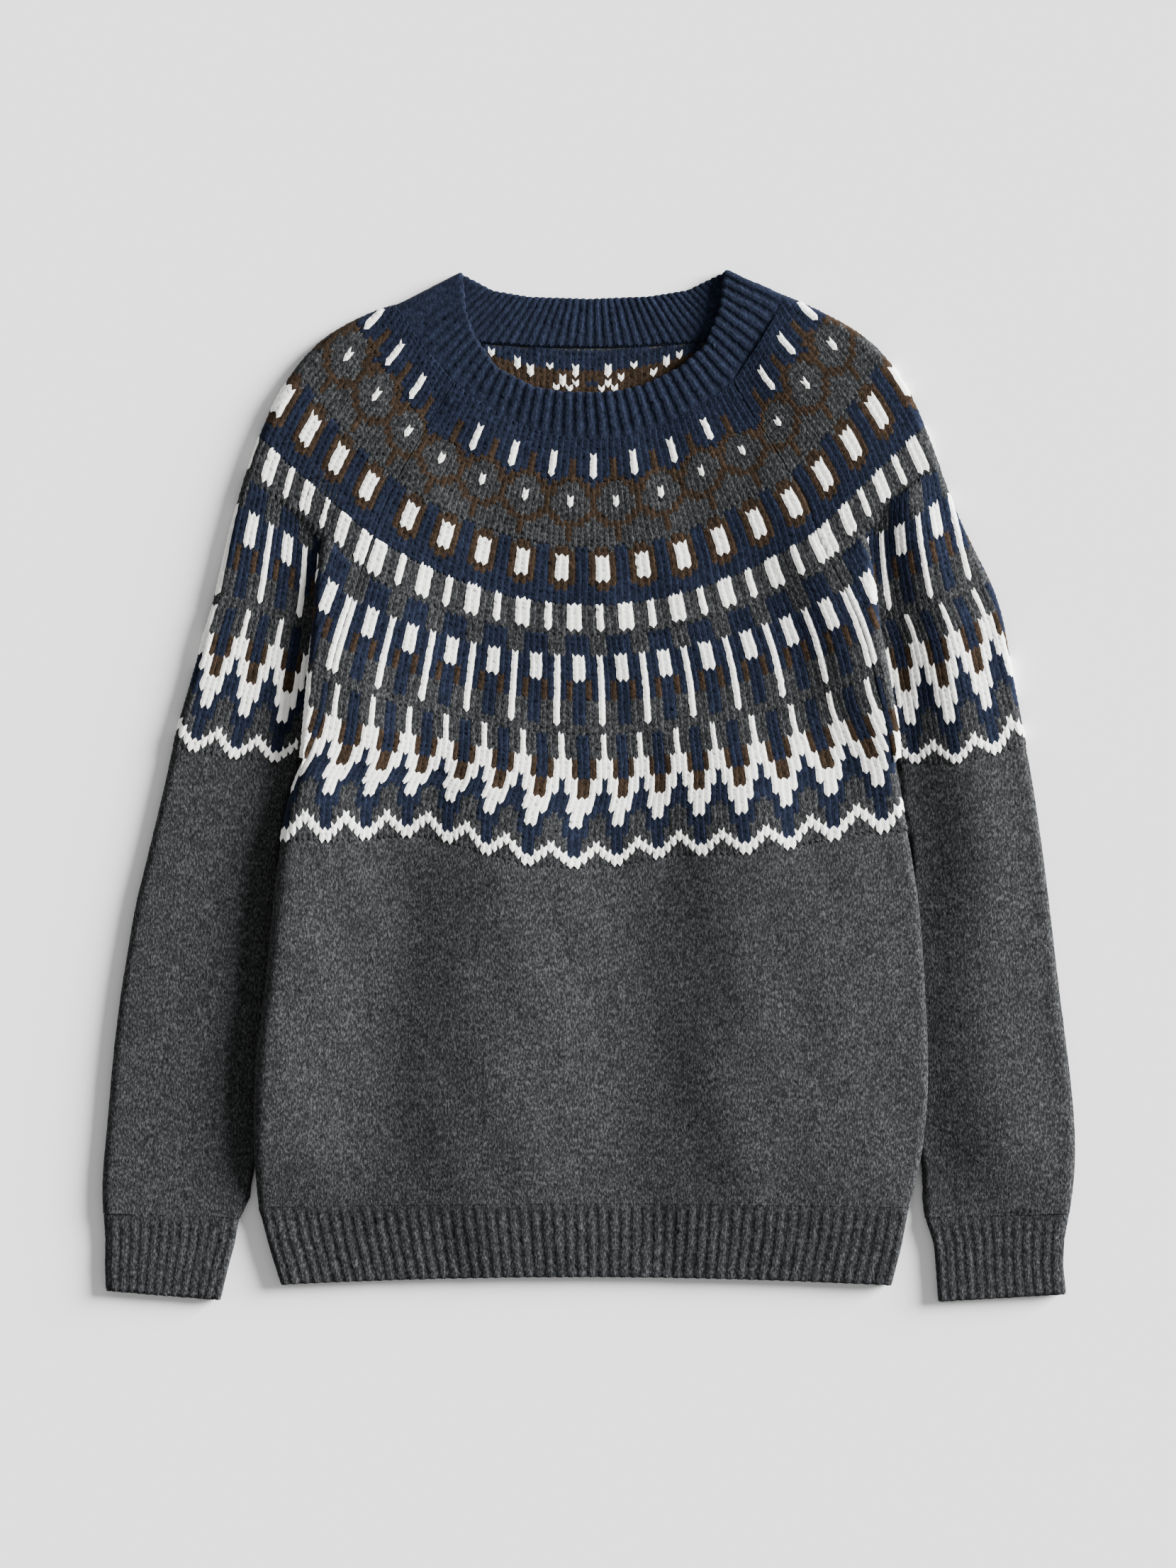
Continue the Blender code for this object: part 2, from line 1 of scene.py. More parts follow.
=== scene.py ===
import math
import bpy
import numpy as np
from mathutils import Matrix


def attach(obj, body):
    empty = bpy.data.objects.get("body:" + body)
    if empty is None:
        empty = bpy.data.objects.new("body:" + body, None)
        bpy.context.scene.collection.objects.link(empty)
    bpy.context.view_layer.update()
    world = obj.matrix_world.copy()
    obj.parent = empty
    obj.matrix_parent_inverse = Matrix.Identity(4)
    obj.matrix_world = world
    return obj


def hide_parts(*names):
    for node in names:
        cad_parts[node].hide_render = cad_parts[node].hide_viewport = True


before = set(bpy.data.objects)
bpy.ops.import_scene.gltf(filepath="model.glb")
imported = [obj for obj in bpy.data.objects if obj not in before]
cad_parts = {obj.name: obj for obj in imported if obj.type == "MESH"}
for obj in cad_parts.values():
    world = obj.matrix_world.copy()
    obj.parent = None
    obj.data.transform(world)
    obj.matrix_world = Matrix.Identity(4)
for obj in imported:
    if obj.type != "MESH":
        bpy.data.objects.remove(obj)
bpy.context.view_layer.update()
dice = np.random.default_rng(83)

# Lengths are in millimetres here and turn to metres where a mesh is made.
cloth = {
    "wall": 3.0,  # thickness of the wool cloth in the CAD
    "slab": 1.6,  # thickness of the plain cloth under the stitches
    "base": 1.15,  # from the middle of the cloth to the foot of the stitches
    "seamGap": 0.3,
    "seamLap": 0.12,  # the sleeve's stitches reach this far over the raglan seam
    "seamSink": 0.12,  # and the cloth's edge goes this far down into it
    "front": 6.8,  # middle of the front's layer, away from its sides and folds
    "crown": 7.8,  # middle of the sleeve's upper layer
    "floor": 1.5,  # middle of the layer that lies on the surface
    "rowDepth": 3.28,  # one knitted row down a sleeve
    "patternLift": 0.9,  # how high the yoke's stitches stand, as a share of the full height
    "plainLift": 0.55,
}
rib = {
    "wall": 2.4,
    "cuffMore": 0.9,  # room for the raised ribs at the cuff's outer edge
    "floor": 2.1,
    "cuffLow": 6.4,  # the cuff's upper layer at its inner edge and at its middle
    "cuffTop": 6.9,
    "neckFree": 8.4,
    "over": 2.6,  # the ribs start this far over the edge that they are knitted to, and a little sunk
    "overSink": 0.35,
}
# How far in from its sides the body's edge heights reach, and the share of the back's lift at the right
drape = {"leftReach": 100, "rightReach": 60, "backReach": 88, "backFade": 56, "backRight": 0.66}
# The knitted rows: 0 is the lowest of the yoke, and 87 the last before the neckband
firstBodyRow, firstSleeveRow, lastRow = -69, -94, 87

# Knitted row, left x and y, right x and y, y at the middle
frontRows = [
    (-69, -219.3, -279.2, 212.7, -279.2, -276.8),
    (-61, -221.3, -258, 219, -258, -255),
    (-55, -222.5, -234.5, 223, -233.6, -232.6),
    (-47, -222, -208, 225.2, -208, -208),
    (-40, -221.1, -183.3, 225.8, -182.8, -184.2),
    (-32, -218, -158, 225, -158, -160),
    (-25, -214.6, -134.9, 223.5, -133.9, -135.8),
    (-12, -210.3, -88.8, 220.2, -86, -94),
    (-6, -207.4, -61, 216, -57, -73),
    (0, -204.2, -34.8, 210.8, -28.7, -53.1),
    (8, -198.1, -1.9, 205.6, 2.3, -27.3),
    (13, -188.2, 16, 202, 18.3, -10.8),
    (18, -179.4, 32.4, 198.4, 34.3, 5.6),
    (22, -174.4, 48.4, 194.2, 51.2, 18.8),
    (28, -171.3, 76.1, 188, 80.8, 38.5),
    (36, -164.7, 100.1, 181.2, 105.3, 64.9),
    (43, -156.7, 124.1, 169.4, 131.6, 87.9),
    (50, -145.9, 158, 153, 161.8, 111.8),
    (60, -135.1, 188.5, 144.5, 191.3, 143.8),
    (66, -124.8, 207.3, 129.5, 212.4, 163.6),
    (73, -114, 227.5, 118.7, 231.2, 186.6),
    (81, -102.7, 244.9, 107.9, 247.2, 212.9),
    (87, -89.5, 268, 95.6, 268.6, 230.2),
]
# The back has the same sides up to the underarm, but other middles: knitted row and y
backMiddle = {-25: -136.5, -12: -92, -6: -66, 0: -42, 8: -12, 13: 6}
backRows = frontRows[:5] + [(*row[:5], backMiddle[row[0]]) for row in frontRows if row[0] in backMiddle]
backRows += [
    (18, -183, 41, 198.5, 42, 30),
    (34, -166.2, 92.2, 179.4, 93.2, 80),
    (50, -149.4, 143.4, 160.3, 144.4, 132),
    (64, -132.6, 194.6, 141.2, 195.6, 184),
    (76, -115.8, 245.8, 122.1, 246.8, 238),
    (87, -99, 297, 103, 298, 291),
]

# Height of the body's side edges by y: on the front, and how far the back is lifted there
edgeY = (-345, -285, -240, -180, -60, -20, 16, 60, 110, 150, 180, 240, 330)
edgeLeft = (7.4, 7.8, 17.8, 20.6, 21, 20.2, 18.2, 16, 13.6, 11.2, 9.4, 7.8, 7.4)
edgeRight = (7.4, 7.8, 9.2, 9.2, 9.2, 9.4, 10.2, 11.2, 11.2, 10.4, 9.4, 7.8, 7.4)
liftY = (-345, -292, -244, -50, 10, 330)
liftBack = (0, 0, 7.6, 7.6, 0, 0)

# Soft folds down the front: x at the hem and the chest, width, height, low and high y
frontFolds = [
    (-64, -56, 74, 11, -350, 76),
    (98, 104, 50, 10, -350, 80),
    (168, 170, 38, 6, -345, 30),
]


def smoothStep(t):
    t = np.clip(t, 0, 1)
    return t * t * (3 - 2 * t)


def fineTable(table):
    # one line for each knitted row, with the corners at the measured rows eased
    table = np.array(table, float)
    rows = np.arange(math.ceil(table[0, 0]), math.floor(table[-1, 0]) + 1)
    columns = [np.interp(rows, table[:, 0], column) for column in table.T[1:]]
    fine = np.stack([rows.astype(float)] + columns, 1)
    for turn in range(2):
        before = 2 * fine[:1] - fine[3:0:-1]
        after = 2 * fine[-1:] - fine[-2:-5:-1]
        padded = np.concatenate([before, fine, after])
        fine = sum(padded[k : k + len(fine)] for k in range(7)) / 7
    return fine


def atRow(table, row, column):
    return np.interp(row, table[:, 0], table[:, column])


frontTable = fineTable(frontRows)
backTable = fineTable(backRows)


def bodyEdge(x, y):
    left = np.interp(y, frontTable[:, 2], frontTable[:, 1])
    right = np.interp(y, frontTable[:, 4], frontTable[:, 3])
    return np.minimum(x - left, right - x)


def foldHeight(x, y):
    total = 0.0
    for hemX, chestX, width, height, low, high in frontFolds:
        along = (y - low) / (high - low)
        middle = hemX + (chestX - hemX) * along
        fade = smoothStep(along * 3) * smoothStep((1 - along) * 3)
        total = total + height * fade * np.exp(-(((x - middle) / width) ** 2))
    # the slight unevenness of cloth that lies loose
    return total + 0.3 * np.sin(x / 11 + 1.3) * np.sin(y / 17 + 0.4) + 0.2 * np.sin(x / 7.5 + y / 21)


def frontHeight(x, y):
    isLeft = np.asarray(x) < 0
    side = smoothStep(1 - bodyEdge(x, y) / np.where(isLeft, drape["leftReach"], drape["rightReach"]))
    edge = np.where(isLeft, np.interp(y, edgeY, edgeLeft), np.interp(y, edgeY, edgeRight))
    return cloth["front"] + (edge - cloth["front"]) * side + foldHeight(x, y)


def backHeight(x, y, floor=cloth["floor"]):
    side = smoothStep((drape["backReach"] - bodyEdge(x, y)) / drape["backFade"])
    side = side * np.where(np.asarray(x) < 0, 1.0, drape["backRight"])
    return floor + np.interp(y, liftY, liftBack) * side


# How far the front's pattern is drawn up at row 0, by share of the row, and what is left of it by row
drawnUp = (
    (0, 1), (0.05, 5), (0.115, 9), (0.165, 13.5), (0.215, 17), (0.25, 16), (0.29, 13), (0.33, 8.5),
    (0.365, 5.5), (0.4, 2.2), (0.44, 1.3), (0.5, 1), (0.56, 3.5), (0.6, 6.2), (0.64, 7), (0.72, 4.8),
    (0.78, 3.5), (0.86, 5.6), (0.93, 6.6), (1, 3),
)
drawnLeft = ((-45, 0), (-8, 0.9), (0, 1), (8, 0.93), (14, 0.5), (21, 0.26), (30, 0.08), (38, 0))


def drawn(row, share):
    # the rows by the neck are also a little higher toward the right seam
    nearNeck = 5.0 * np.exp(-(((share - 0.86) / 0.08) ** 2)) * np.interp(row, (58, 72, 82, 87), (0, 1, 1, 0))
    return np.interp(share, *zip(*drawnUp)) * np.interp(row, *zip(*drawnLeft)) + nearNeck


def rowLine(table, row, across):
    leftX, leftY, rightX, rightY, middleY = (atRow(table, row, n) for n in range(1, 6))
    share = (across + 1) / 2
    bow = middleY - (leftY + rightY) / 2
    lift = drawn(row, share) if table is frontTable else 0.0
    return leftX + (rightX - leftX) * share, leftY + (rightY - leftY) * share + bow * (1 - across**2) + lift


def unit(vectors):
    return vectors / np.maximum(np.linalg.norm(vectors, axis=-1, keepdims=True), 1e-9)


def lengthsAlong(points):
    # how far along the line each point lies
    return np.concatenate([[0], np.cumsum(np.linalg.norm(np.diff(points, axis=0), axis=1))])


def evenly(points, count):
    at = lengthsAlong(points)
    where = np.linspace(0, at[-1], count)
    return np.stack([np.interp(where, at, points[:, n]) for n in range(3)], 1)


def curveThrough(points, shares):
    points = np.array(points, float)
    at = lengthsAlong(points)
    at /= at[-1]
    slope = np.gradient(points, at, axis=0)
    out = []
    for share in shares:
        k = min(int(np.searchsorted(at, share, side="right")) - 1, len(at) - 2)
        h = at[k + 1] - at[k]
        t = (share - at[k]) / h
        a = (2 * t**3 - 3 * t**2 + 1) * points[k] + (t**3 - 2 * t**2 + t) * h * slope[k]
        b = (3 * t**2 - 2 * t**3) * points[k + 1] + (t**3 - t**2) * h * slope[k + 1]
        out.append(a + b)
    return np.array(out)


def gridNormals(grid, closed=False):
    if closed:
        across = np.roll(grid, -1, 1) - np.roll(grid, 1, 1)
    else:
        across = np.gradient(grid, axis=1)
    return unit(np.cross(across, np.gradient(grid, axis=0)))


def surfaceOf(firstRow, grid, facing, closed=False):
    # grid runs up the knitted rows and along each row; facing turns its normals outward
    normal = gridNormals(grid, closed) * facing
    steps = np.linalg.norm(np.diff(grid, axis=1), axis=2).sum(1)
    return {"first": firstRow, "grid": grid, "normal": normal, "length": steps}


def sample(values, rowAt, columnAt):
    rows, columns = values.shape[:2]
    r = np.clip(rowAt, 0, rows - 1.001)
    c = np.clip(columnAt, 0, columns - 1.001)
    i = r.astype(int)
    j = c.astype(int)
    u = (r - i)[..., None]
    v = (c - j)[..., None]
    top = values[i, j] * (1 - v) + values[i, j + 1] * v
    low = values[i + 1, j] * (1 - v) + values[i + 1, j + 1] * v
    return top * (1 - u) + low * u


# Materials: wool yarns, one for each letter of the charts


def linear(code):
    channels = [int(code[n : n + 2], 16) / 255 for n in (1, 3, 5)]
    return [c / 12.92 if c <= 0.04045 else ((c + 0.055) / 1.055) ** 2.4 for c in channels] + [1.0]


def addNode(tree, kind, settings=None, links=None):
    node = tree.nodes.new(kind)
    for name, value in (settings or {}).items():
        if isinstance(name, str) and hasattr(node, name):
            setattr(node, name, value)
        else:
            node.inputs[name].default_value = value
    for name, socket in (links or {}).items():
        tree.links.new(socket, node.inputs[name])
    return node


def noise(tree, size, detail, roughness, place):
    # a pattern of soft grains of this size
    values = {"Scale": 1000 / size, "Detail": detail, "Roughness": roughness}
    return addNode(tree, "ShaderNodeTexNoise", values, {"Vector": place}).outputs["Fac"]


wool = {
    "surface": {
        "Roughness": 0.92, "IOR": 1.45, "Specular IOR Level": 0.05,
        "Sheen Weight": 0.04, "Sheen Roughness": 0.45,
    },
    "fibreDrawn": (1.0, 0.42, 1.0),  # fibres lie mostly along the stitches, so the flecks are drawn long
    "fuzz": 0.9,  # size of the loose fibres' bumps, and their depth in metres
    "fuzzDepth": 0.0006,
}


def woolYarn(name, colours, flecks, lift):
    # knitted and brushed: matt, with loose fibres that catch the light and mixed fibre colours
    made = bpy.data.materials.new(name)
    made.use_nodes = True
    tree = made.node_tree
    shader = tree.nodes["Principled BSDF"]
    place = addNode(tree, "ShaderNodeTexCoord").outputs["Object"]
    along = addNode(tree, "ShaderNodeMapping", {"Scale": wool["fibreDrawn"]}, {"Vector": place}).outputs[0]
    mixed = addNode(
        tree, "ShaderNodeMath", {"operation": "MULTIPLY_ADD", 1: flecks["cloudShare"]},
        {0: noise(tree, flecks["cloud"], 2.0, 0.5, place), 2: noise(tree, flecks["fine"], 3.0, 0.62, along)},
    )
    ramp = addNode(tree, "ShaderNodeValToRGB", {}, {"Fac": mixed.outputs[0]})
    stops = ramp.color_ramp.elements
    middle = 0.5 + 0.5 * flecks["cloudShare"]
    stops[0].position = middle - flecks["spread"]
    stops[1].position = middle + flecks["spread"]
    stops[0].color = linear(colours[0])
    stops[1].color = linear(colours[2])
    stops.new(middle).color = linear(colours[1])
    fuzz = noise(tree, wool["fuzz"], 3.0, 0.7, along)
    bump = addNode(tree, "ShaderNodeBump", {"Strength": lift, "Distance": wool["fuzzDepth"]}, {"Height": fuzz})
    tree.links.new(ramp.outputs["Color"], shader.inputs["Base Color"])
    tree.links.new(bump.outputs[0], shader.inputs["Normal"])
    for part, value in wool["surface"].items():
        shader.inputs[part].default_value = value
    return made


heather = {"fine": 1.0, "cloud": 6.0, "cloudShare": 0.15, "spread": 0.19}
dyed = {"fine": 1.1, "cloud": 7.0, "cloudShare": 0.3, "spread": 0.22}
yarns = {
    # charcoal heather: dark and light fleece spun together, so the grey looks flecked
    "g": woolYarn("brushedCharcoalWool", ("#111112", "#272829", "#4b4c4d"), heather, 0.6),
    # navy: piece-dyed, nearly even, with slightly bluer fibre ends
    "n": woolYarn("brushedNavyWool", ("#0c0f18", "#151a27", "#22283a"), dyed, 0.55),
    # brown: moor-brown fleece with a few lighter fibres
    "b": woolYarn("brushedBrownWool", ("#19130d", "#2a2119", "#403227"), dyed, 0.55),
    # off-white: undyed fleece, the plumpest yarn on the yoke
    "w": woolYarn("brushedUndyedWool", ("#e2e1dc", "#f0efeb", "#f7f7f4"), dyed, 0.4),
    # the heather again in the hem and cuffs, painted a little darker as painted shade, where the tight ribs
    # keep the light out
    "r": woolYarn("ribbedCharcoalWoolPaintedShade", ("#0f0f10", "#232425", "#444547"), heather, 0.5),
}
yarnIndex = {letter: n for n, letter in enumerate(yarns)}
print("materials made")


def makePiece(name, points, faces, faceMaterials, uvs, materials):
    # faces is an array of four corners each, and uvs has a pair for each corner
    mesh = bpy.data.meshes.new(name)
    count = len(faces)
    mesh.vertices.add(len(points))
    mesh.vertices.foreach_set("co", (points / 1000).astype(np.float32).ravel())
    mesh.loops.add(count * 4)
    mesh.loops.foreach_set("vertex_index", faces.astype(np.int32).ravel())
    mesh.polygons.add(count)
    mesh.polygons.foreach_set("loop_start", np.arange(0, count * 4, 4, dtype=np.int32))
    mesh.polygons.foreach_set("loop_total", np.full(count, 4, np.int32))
    mesh.polygons.foreach_set("material_index", faceMaterials.astype(np.int32))
    mesh.polygons.foreach_set("use_smooth", np.full(count, True))
    mesh.uv_layers.new(name="OFBake").data.foreach_set("uv", uvs.astype(np.float32).ravel())
    for material in materials:
        mesh.materials.append(material)
    mesh.update()
    mesh.validate(clean_customdata=False)
    piece = bpy.data.objects.new(name, mesh)
    bpy.context.scene.collection.objects.link(piece)
    return piece


def dress(pieces, node=None):
    # all move with the garment's one body, and the first stands for the CAD's piece
    for piece in pieces:
        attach(piece, "root")
    if node:
        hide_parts(node)


def gridFaces(rows, columns, closed=False):
    index = np.arange(rows * columns).reshape(rows, columns)
    right = np.roll(index, -1, 1)
    last = columns if closed else columns - 1
    a = index[:-1, :last]
    b = right[:-1, :last]
    c = right[1:, :last]
    d = index[1:, :last]
    return np.stack([a, b, c, d], -1)


def clothSlab(name, grid, thickness, letter, facing, closed=False, ends=None):
    # a closed wall of plain cloth: the grid moved out and in by half the thickness
    normal = gridNormals(grid, closed) * facing
    if ends is not None:
        normal[:, 0] = ends[:, 0]
        normal[:, -1] = ends[:, 1]
    rows, columns = grid.shape[:2]
    outer = (grid + normal * thickness / 2).reshape(-1, 3)
    inner = (grid - normal * thickness / 2).reshape(-1, 3)
    total = rows * columns
    index = np.arange(total).reshape(rows, columns)
    borders = [(index[0], 1), (index[-1], -1)]
    if closed:
        borders = [(np.append(line, line[0]), turn) for line, turn in borders]
    else:
        borders += [(index[:, 0], -1), (index[:, -1], 1)]
    rim = []
    for line, turn in borders:
        here, there = line[:-1], line[1:]
        rim.append(np.stack([here, here + total, there + total, there], 1)[:, ::turn])
    rim = np.concatenate(rim)
    top = gridFaces(rows, columns, closed).reshape(-1, 4)
    faces = np.concatenate([top, top[:, ::-1] + total, rim])
    # in the bake's picture the outside and the inside lie side by side, and the rim above them
    wide = columns if closed else columns - 1
    number = np.arange(len(top))
    corners = np.array([(0, 0), (1, 0), (1, 1), (0, 1)])
    square = (np.stack([number % wide, number // wide], 1)[:, None] + corners) / (wide, rows - 1)
    share = np.array([0.49, 0.95])
    rimU = (np.arange(len(rim))[:, None] + np.array([0, 0, 1, 1])) / len(rim)
    rimV = 0.965 + 0.03 * np.array([0, 1, 1, 0]) + 0 * rimU
    uvs = np.concatenate([square * share, square[:, ::-1] * share + (0.505, 0), np.stack([rimU, rimV], -1)])
    if facing < 0:
        faces, uvs = faces[:, ::-1], uvs[:, ::-1]
    return makePiece(name, np.concatenate([outer, inner]), faces, np.zeros(len(faces)), uvs, [yarns[letter]])


# One stitch is two legs that rise from its foot: sub-columns run from the groove between wales.
plump = {
    "at": (-0.5, -0.25, 0, 0.25),
    "slant": (0.34, 0.02, -0.36, 0.02),
    "ridge": (-0.05, 0.95, 0.62, 0.95),
    "valley": (-0.15, 0.62, 0.3, 0.62),
}
flat = {"at": (-0.5, 0), "slant": (0.3, -0.3), "ridge": (0.1, 0.8), "valley": (0, 0.5)}
knit = {
    "undyedBulge": 0.4,  # how much higher the undyed stitches stand
    "sunk": 1.1,  # the last row of a band goes down this far under the next band
    "start": 0.45,  # height of the row that a ramp starts from
    "pressed": 0.6,  # stitches lower than this over the surface are pressed flatter
    # no two stitches are quite alike: up the row, along it, in height, and in each point's height
    "stray": (0.07, 0.035, 0.06, 0.035),
}


def beside(points, kinds, count):
    # for each line of points the stitches before and after it, in a table with one more on each side
    number = np.arange(points)
    return [np.clip((number + step) // kinds + 1, 0, count + 1) for step in (-1, 0)]


def knitPatch(
    surface, rows, numbers, place, letters, stitch, lift, sink=(False, False), base=cloth["base"], ramp=None
):
    # rows and numbers are the first and last ones, and place gives a stitch's share of its row
    stitchCount = numbers[1] - numbers[0] + 1
    knitRows = rows[1] - rows[0] + 1
    kinds = len(stitch["at"])
    halfRows = np.arange(rows[0] - 0.5, rows[1] + 0.51, 0.5)
    position = (numbers[0] + np.arange(stitchCount)[:, None] + np.array(stitch["at"])).ravel()
    position = np.append(position, numbers[1] + 0.5)
    slant, ridge, valley = (
        np.append(np.tile(stitch[part], stitchCount), stitch[part][0]) for part in ("slant", "ridge", "valley")
    )
    rowCount, columnCount = len(halfRows), len(position)
    strayUp, strayAlong, strayHeight, strayPoint = knit["stray"]
    stray = dice.normal(0, 1, (3, knitRows + 1, stitchCount + 1))
    rowOf = np.minimum((np.arange(rowCount) + 1) // 2, knitRows)
    columnOf = np.minimum(np.arange(columnCount) // kinds, stitchCount)
    stray = stray[:, rowOf][:, :, columnOf]
    rowAt = halfRows[:, None] + slant + strayUp * stray[0]
    share = place(rowAt, position + strayAlong * stray[1])
    outside = (share < 0) | (share > 1)
    share = np.clip(share, 0, 1)
    columnAt = share * (surface["grid"].shape[1] - 1)
    point = sample(surface["grid"], rowAt - surface["first"], columnAt)
    normal = unit(sample(surface["normal"], rowAt - surface["first"], columnAt))
    isRidge = (np.arange(rowCount) % 2 == 1)[:, None]
    height = np.where(isRidge, ridge, valley) * lift
    undyed = np.pad((letters == yarnIndex["w"]).astype(float), 1, mode="edge")
    near = [(a, b) for a in beside(rowCount, 2, len(letters)) for b in beside(columnCount, kinds, stitchCount)]
    bulge = sum(undyed[a][:, b] for a, b in near) / 4
    height = height + knit["undyedBulge"] * bulge * lift + strayHeight * stray[2] * lift
    height = height + dice.normal(0, strayPoint, height.shape)
    if ramp is not None:
        height = height * ramp(rowAt, share) + knit["start"] * (1 - ramp(rowAt, share))
    if sink[0]:
        height[:2] -= knit["sunk"]
    if sink[1]:
        height[-2:] -= knit["sunk"]
    height = np.where(outside, base - cloth["seamSink"], height + base)
    point = point + normal * height[..., None]
    z, low = point[..., 2], knit["pressed"]
    point[..., 2] = np.where(z < low, low * np.exp(z / low - 1), z)
    face = gridFaces(rowCount, columnCount).reshape(-1, 4)
    keep = ~outside.ravel()[face].all(1)
    whichRow = np.repeat(np.arange(rowCount - 1) // 2, columnCount - 1)
    whichColumn = np.tile(np.arange(columnCount - 1) // kinds, rowCount - 1)
    paint = letters[np.minimum(whichRow, len(letters) - 1), whichColumn]
    uv = np.stack(np.meshgrid(np.linspace(0, 1, columnCount), np.linspace(0, 1, rowCount)), -1).reshape(-1, 2)
    face, point = face[keep], point.reshape(-1, 3)
    return {"points": point, "faces": face, "paint": paint[keep], "uv": uv[face], "size": rowCount}


def joinPatches(name, patches, flip):
    # the patches become one piece, each with its own band of the bake's picture
    total = sum(patch["size"] for patch in patches)
    start, low = 0, 0.0
    points, faces, paint, uvs = [], [], [], []
    for patch in patches:
        share = patch["size"] / total
        points.append(patch["points"])
        faces.append(patch["faces"] + start)
        paint.append(patch["paint"])
        uvs.append(patch["uv"] * np.array([1, share * 0.97]) + np.array([0, low]))
        start += len(patch["points"])
        low += share
    points, faces, uvs = np.concatenate(points), np.concatenate(faces), np.concatenate(uvs)
    if flip:
        faces, uvs = faces[:, ::-1], uvs[:, ::-1]
    used = np.zeros(len(points), bool)
    used[faces.ravel()] = True
    renumber = np.cumsum(used) - 1
    return makePiece(name, points[used], renumber[faces], np.concatenate(paint), uvs, yarns.values())


# The yoke's pattern, read from each repeat's middle outward: w undyed, n navy, b brown, g charcoal.
# A band's stitches are those of the body; where it is set aside, the cloth happens to lie so on the front.
yokeBands = {
    "zigzag": {
        "rows": (0, 26), "repeat": 7, "stitches": 105,
        "chart": [
            (26, 22, "wggn"), (21, 18, "wwbn"), (17, 15, "nwwb"), (14, 14, "nnwb"), (13, 11, "nnww"),
            (10, 10, "gnnw"), (9, 8, "ggnw"), (7, 6, "ggnn"), (5, 5, "gggn"), (4, 4, "wggn"),
            (3, 3, "wwgn"), (2, 2, "gwwn"), (1, 1, "ggww"), (0, 0, "gggw"),
        ],
    },
    "bars": {
        "rows": (27, 46), "repeat": 7, "stitches": 85,
        "chart": [(46, 43, "ggnn"), (42, 38, "wnnw"), (37, 34, "wnbn"), (33, 29, "wggn"), (28, 27, "gggg")],
    },
    "alternating": {
        "rows": (47, 52), "repeat": 7, "stitches": 65, "aside": 0.55,
        "chart": [(52, 48, "wggw"), (47, 47, "gggg")],
    },
    "boxes": {
        "rows": (53, 64), "repeat": 6, "stitches": 66, "halfway": 0.5, "aside": 1.05,
        "chart": [
            (64, 64, "bgn"), (63, 63, "bbn"), (62, 58, "wbn"), (57, 57, "bbn"), (56, 56, "bnn"),
            (55, 53, "nnn"),
        ],
    },
    "flowers": {
        "rows": (65, 77), "repeat": 8, "stitches": 66, "bodyStart": 4,
        "chart": [
            (77, 77, "ggbbn"), (76, 75, "gggbb"), (74, 73, "wgggb"), (72, 72, "ggggb"), (71, 71, "gggbb"),
            (70, 70, "ggbbg"), (69, 69, "bbbgg"), (68, 66, "bgggg"), (65, 65, "ggggg"),
        ],
    },
    "dashes": {
        "rows": (78, 87), "repeat": 6, "stitches": 50,
        "chart": [(87, 84, "nnnn"), (83, 83, "wnnn"), (82, 79, "wnnb"), (78, 78, "nnbb")],
    },
}


def overlap(name):
    # a band goes one sunk row under each neighbour: its rows, and which ends are sunk
    low, high = yokeBands[name]["rows"]
    sink = (name != "zigzag", name != "dashes")
    return (low - sink[0], high + sink[1]), sink


def bandLetters(band, rows, numbers):
    # the yarn of every stitch, as an index, for these rows and stitch numbers
    out = np.zeros((rows[1] - rows[0] + 1, len(numbers)), int)
    half = band["repeat"] // 2
    middle = 0.5 if "halfway" in band else 0
    distance = np.abs((numbers + half) % band["repeat"] - half + middle).astype(int)
    for i in range(len(out)):
        row = min(max(rows[0] + i, band["rows"][0]), band["rows"][1])
        word = next(word for high, low, word in band["chart"] if low <= row <= high)
        codes = np.array([yarnIndex[letter] for letter in word])
        out[i] = codes[np.minimum(distance, len(codes) - 1)]
    return out


def bodyTurn(row):
    return float(1 - smoothStep((row - 8) / 9))


def bodyGrid(table, rows, height, other, isFront, wallSize, turned, columns):
    # the panel's middle surface: its side edges turn down, or up, to the side seams
    angle = np.radians(np.linspace(0, 90, 9))
    way = -1 if isFront else 1
    grid = []
    for row in rows:
        endX, endY = rowLine(table, row, np.array([-1.0, 1.0]))
        inset = wallSize / 2 * turned(row)
        left, right = endX[0] + inset, endX[1] - inset
        gaps = [abs(height(x, y) - other(x, y)) / 2 for x, y in ((left, endY[0]), (right, endY[1]))]
        atLeft = left + gaps[0] * (1 - np.cos(angle))
        atRight = right - gaps[1] * (1 - np.cos(angle))
        x = np.concatenate([atLeft, np.linspace(atLeft[-1], atRight[-1], 150)[1:-1], atRight[::-1]])
        y = rowLine(table, row, (x - endX[0]) / (endX[1] - endX[0]) * 2 - 1)[1]
        drop = np.zeros_like(x)
        drop[:9] = gaps[0] * (1 - np.sin(angle))
        drop[-9:] = (gaps[1] * (1 - np.sin(angle)))[::-1]
        grid.append(evenly(np.stack([x, y, height(x, y) + way * drop * turned(row)], 1), columns))
    return np.array(grid)


def panelEnds(rows, isFront):
    # the panel's edges face sideways where they are turned, and straight up or down at the raglan seams
    share = np.array([bodyTurn(row) for row in rows])
    up = (1 - share) * (1 if isFront else -1)
    return unit(np.stack([np.stack([side * share, 0 * share, up], 1) for side in (-1, 1)], 1))


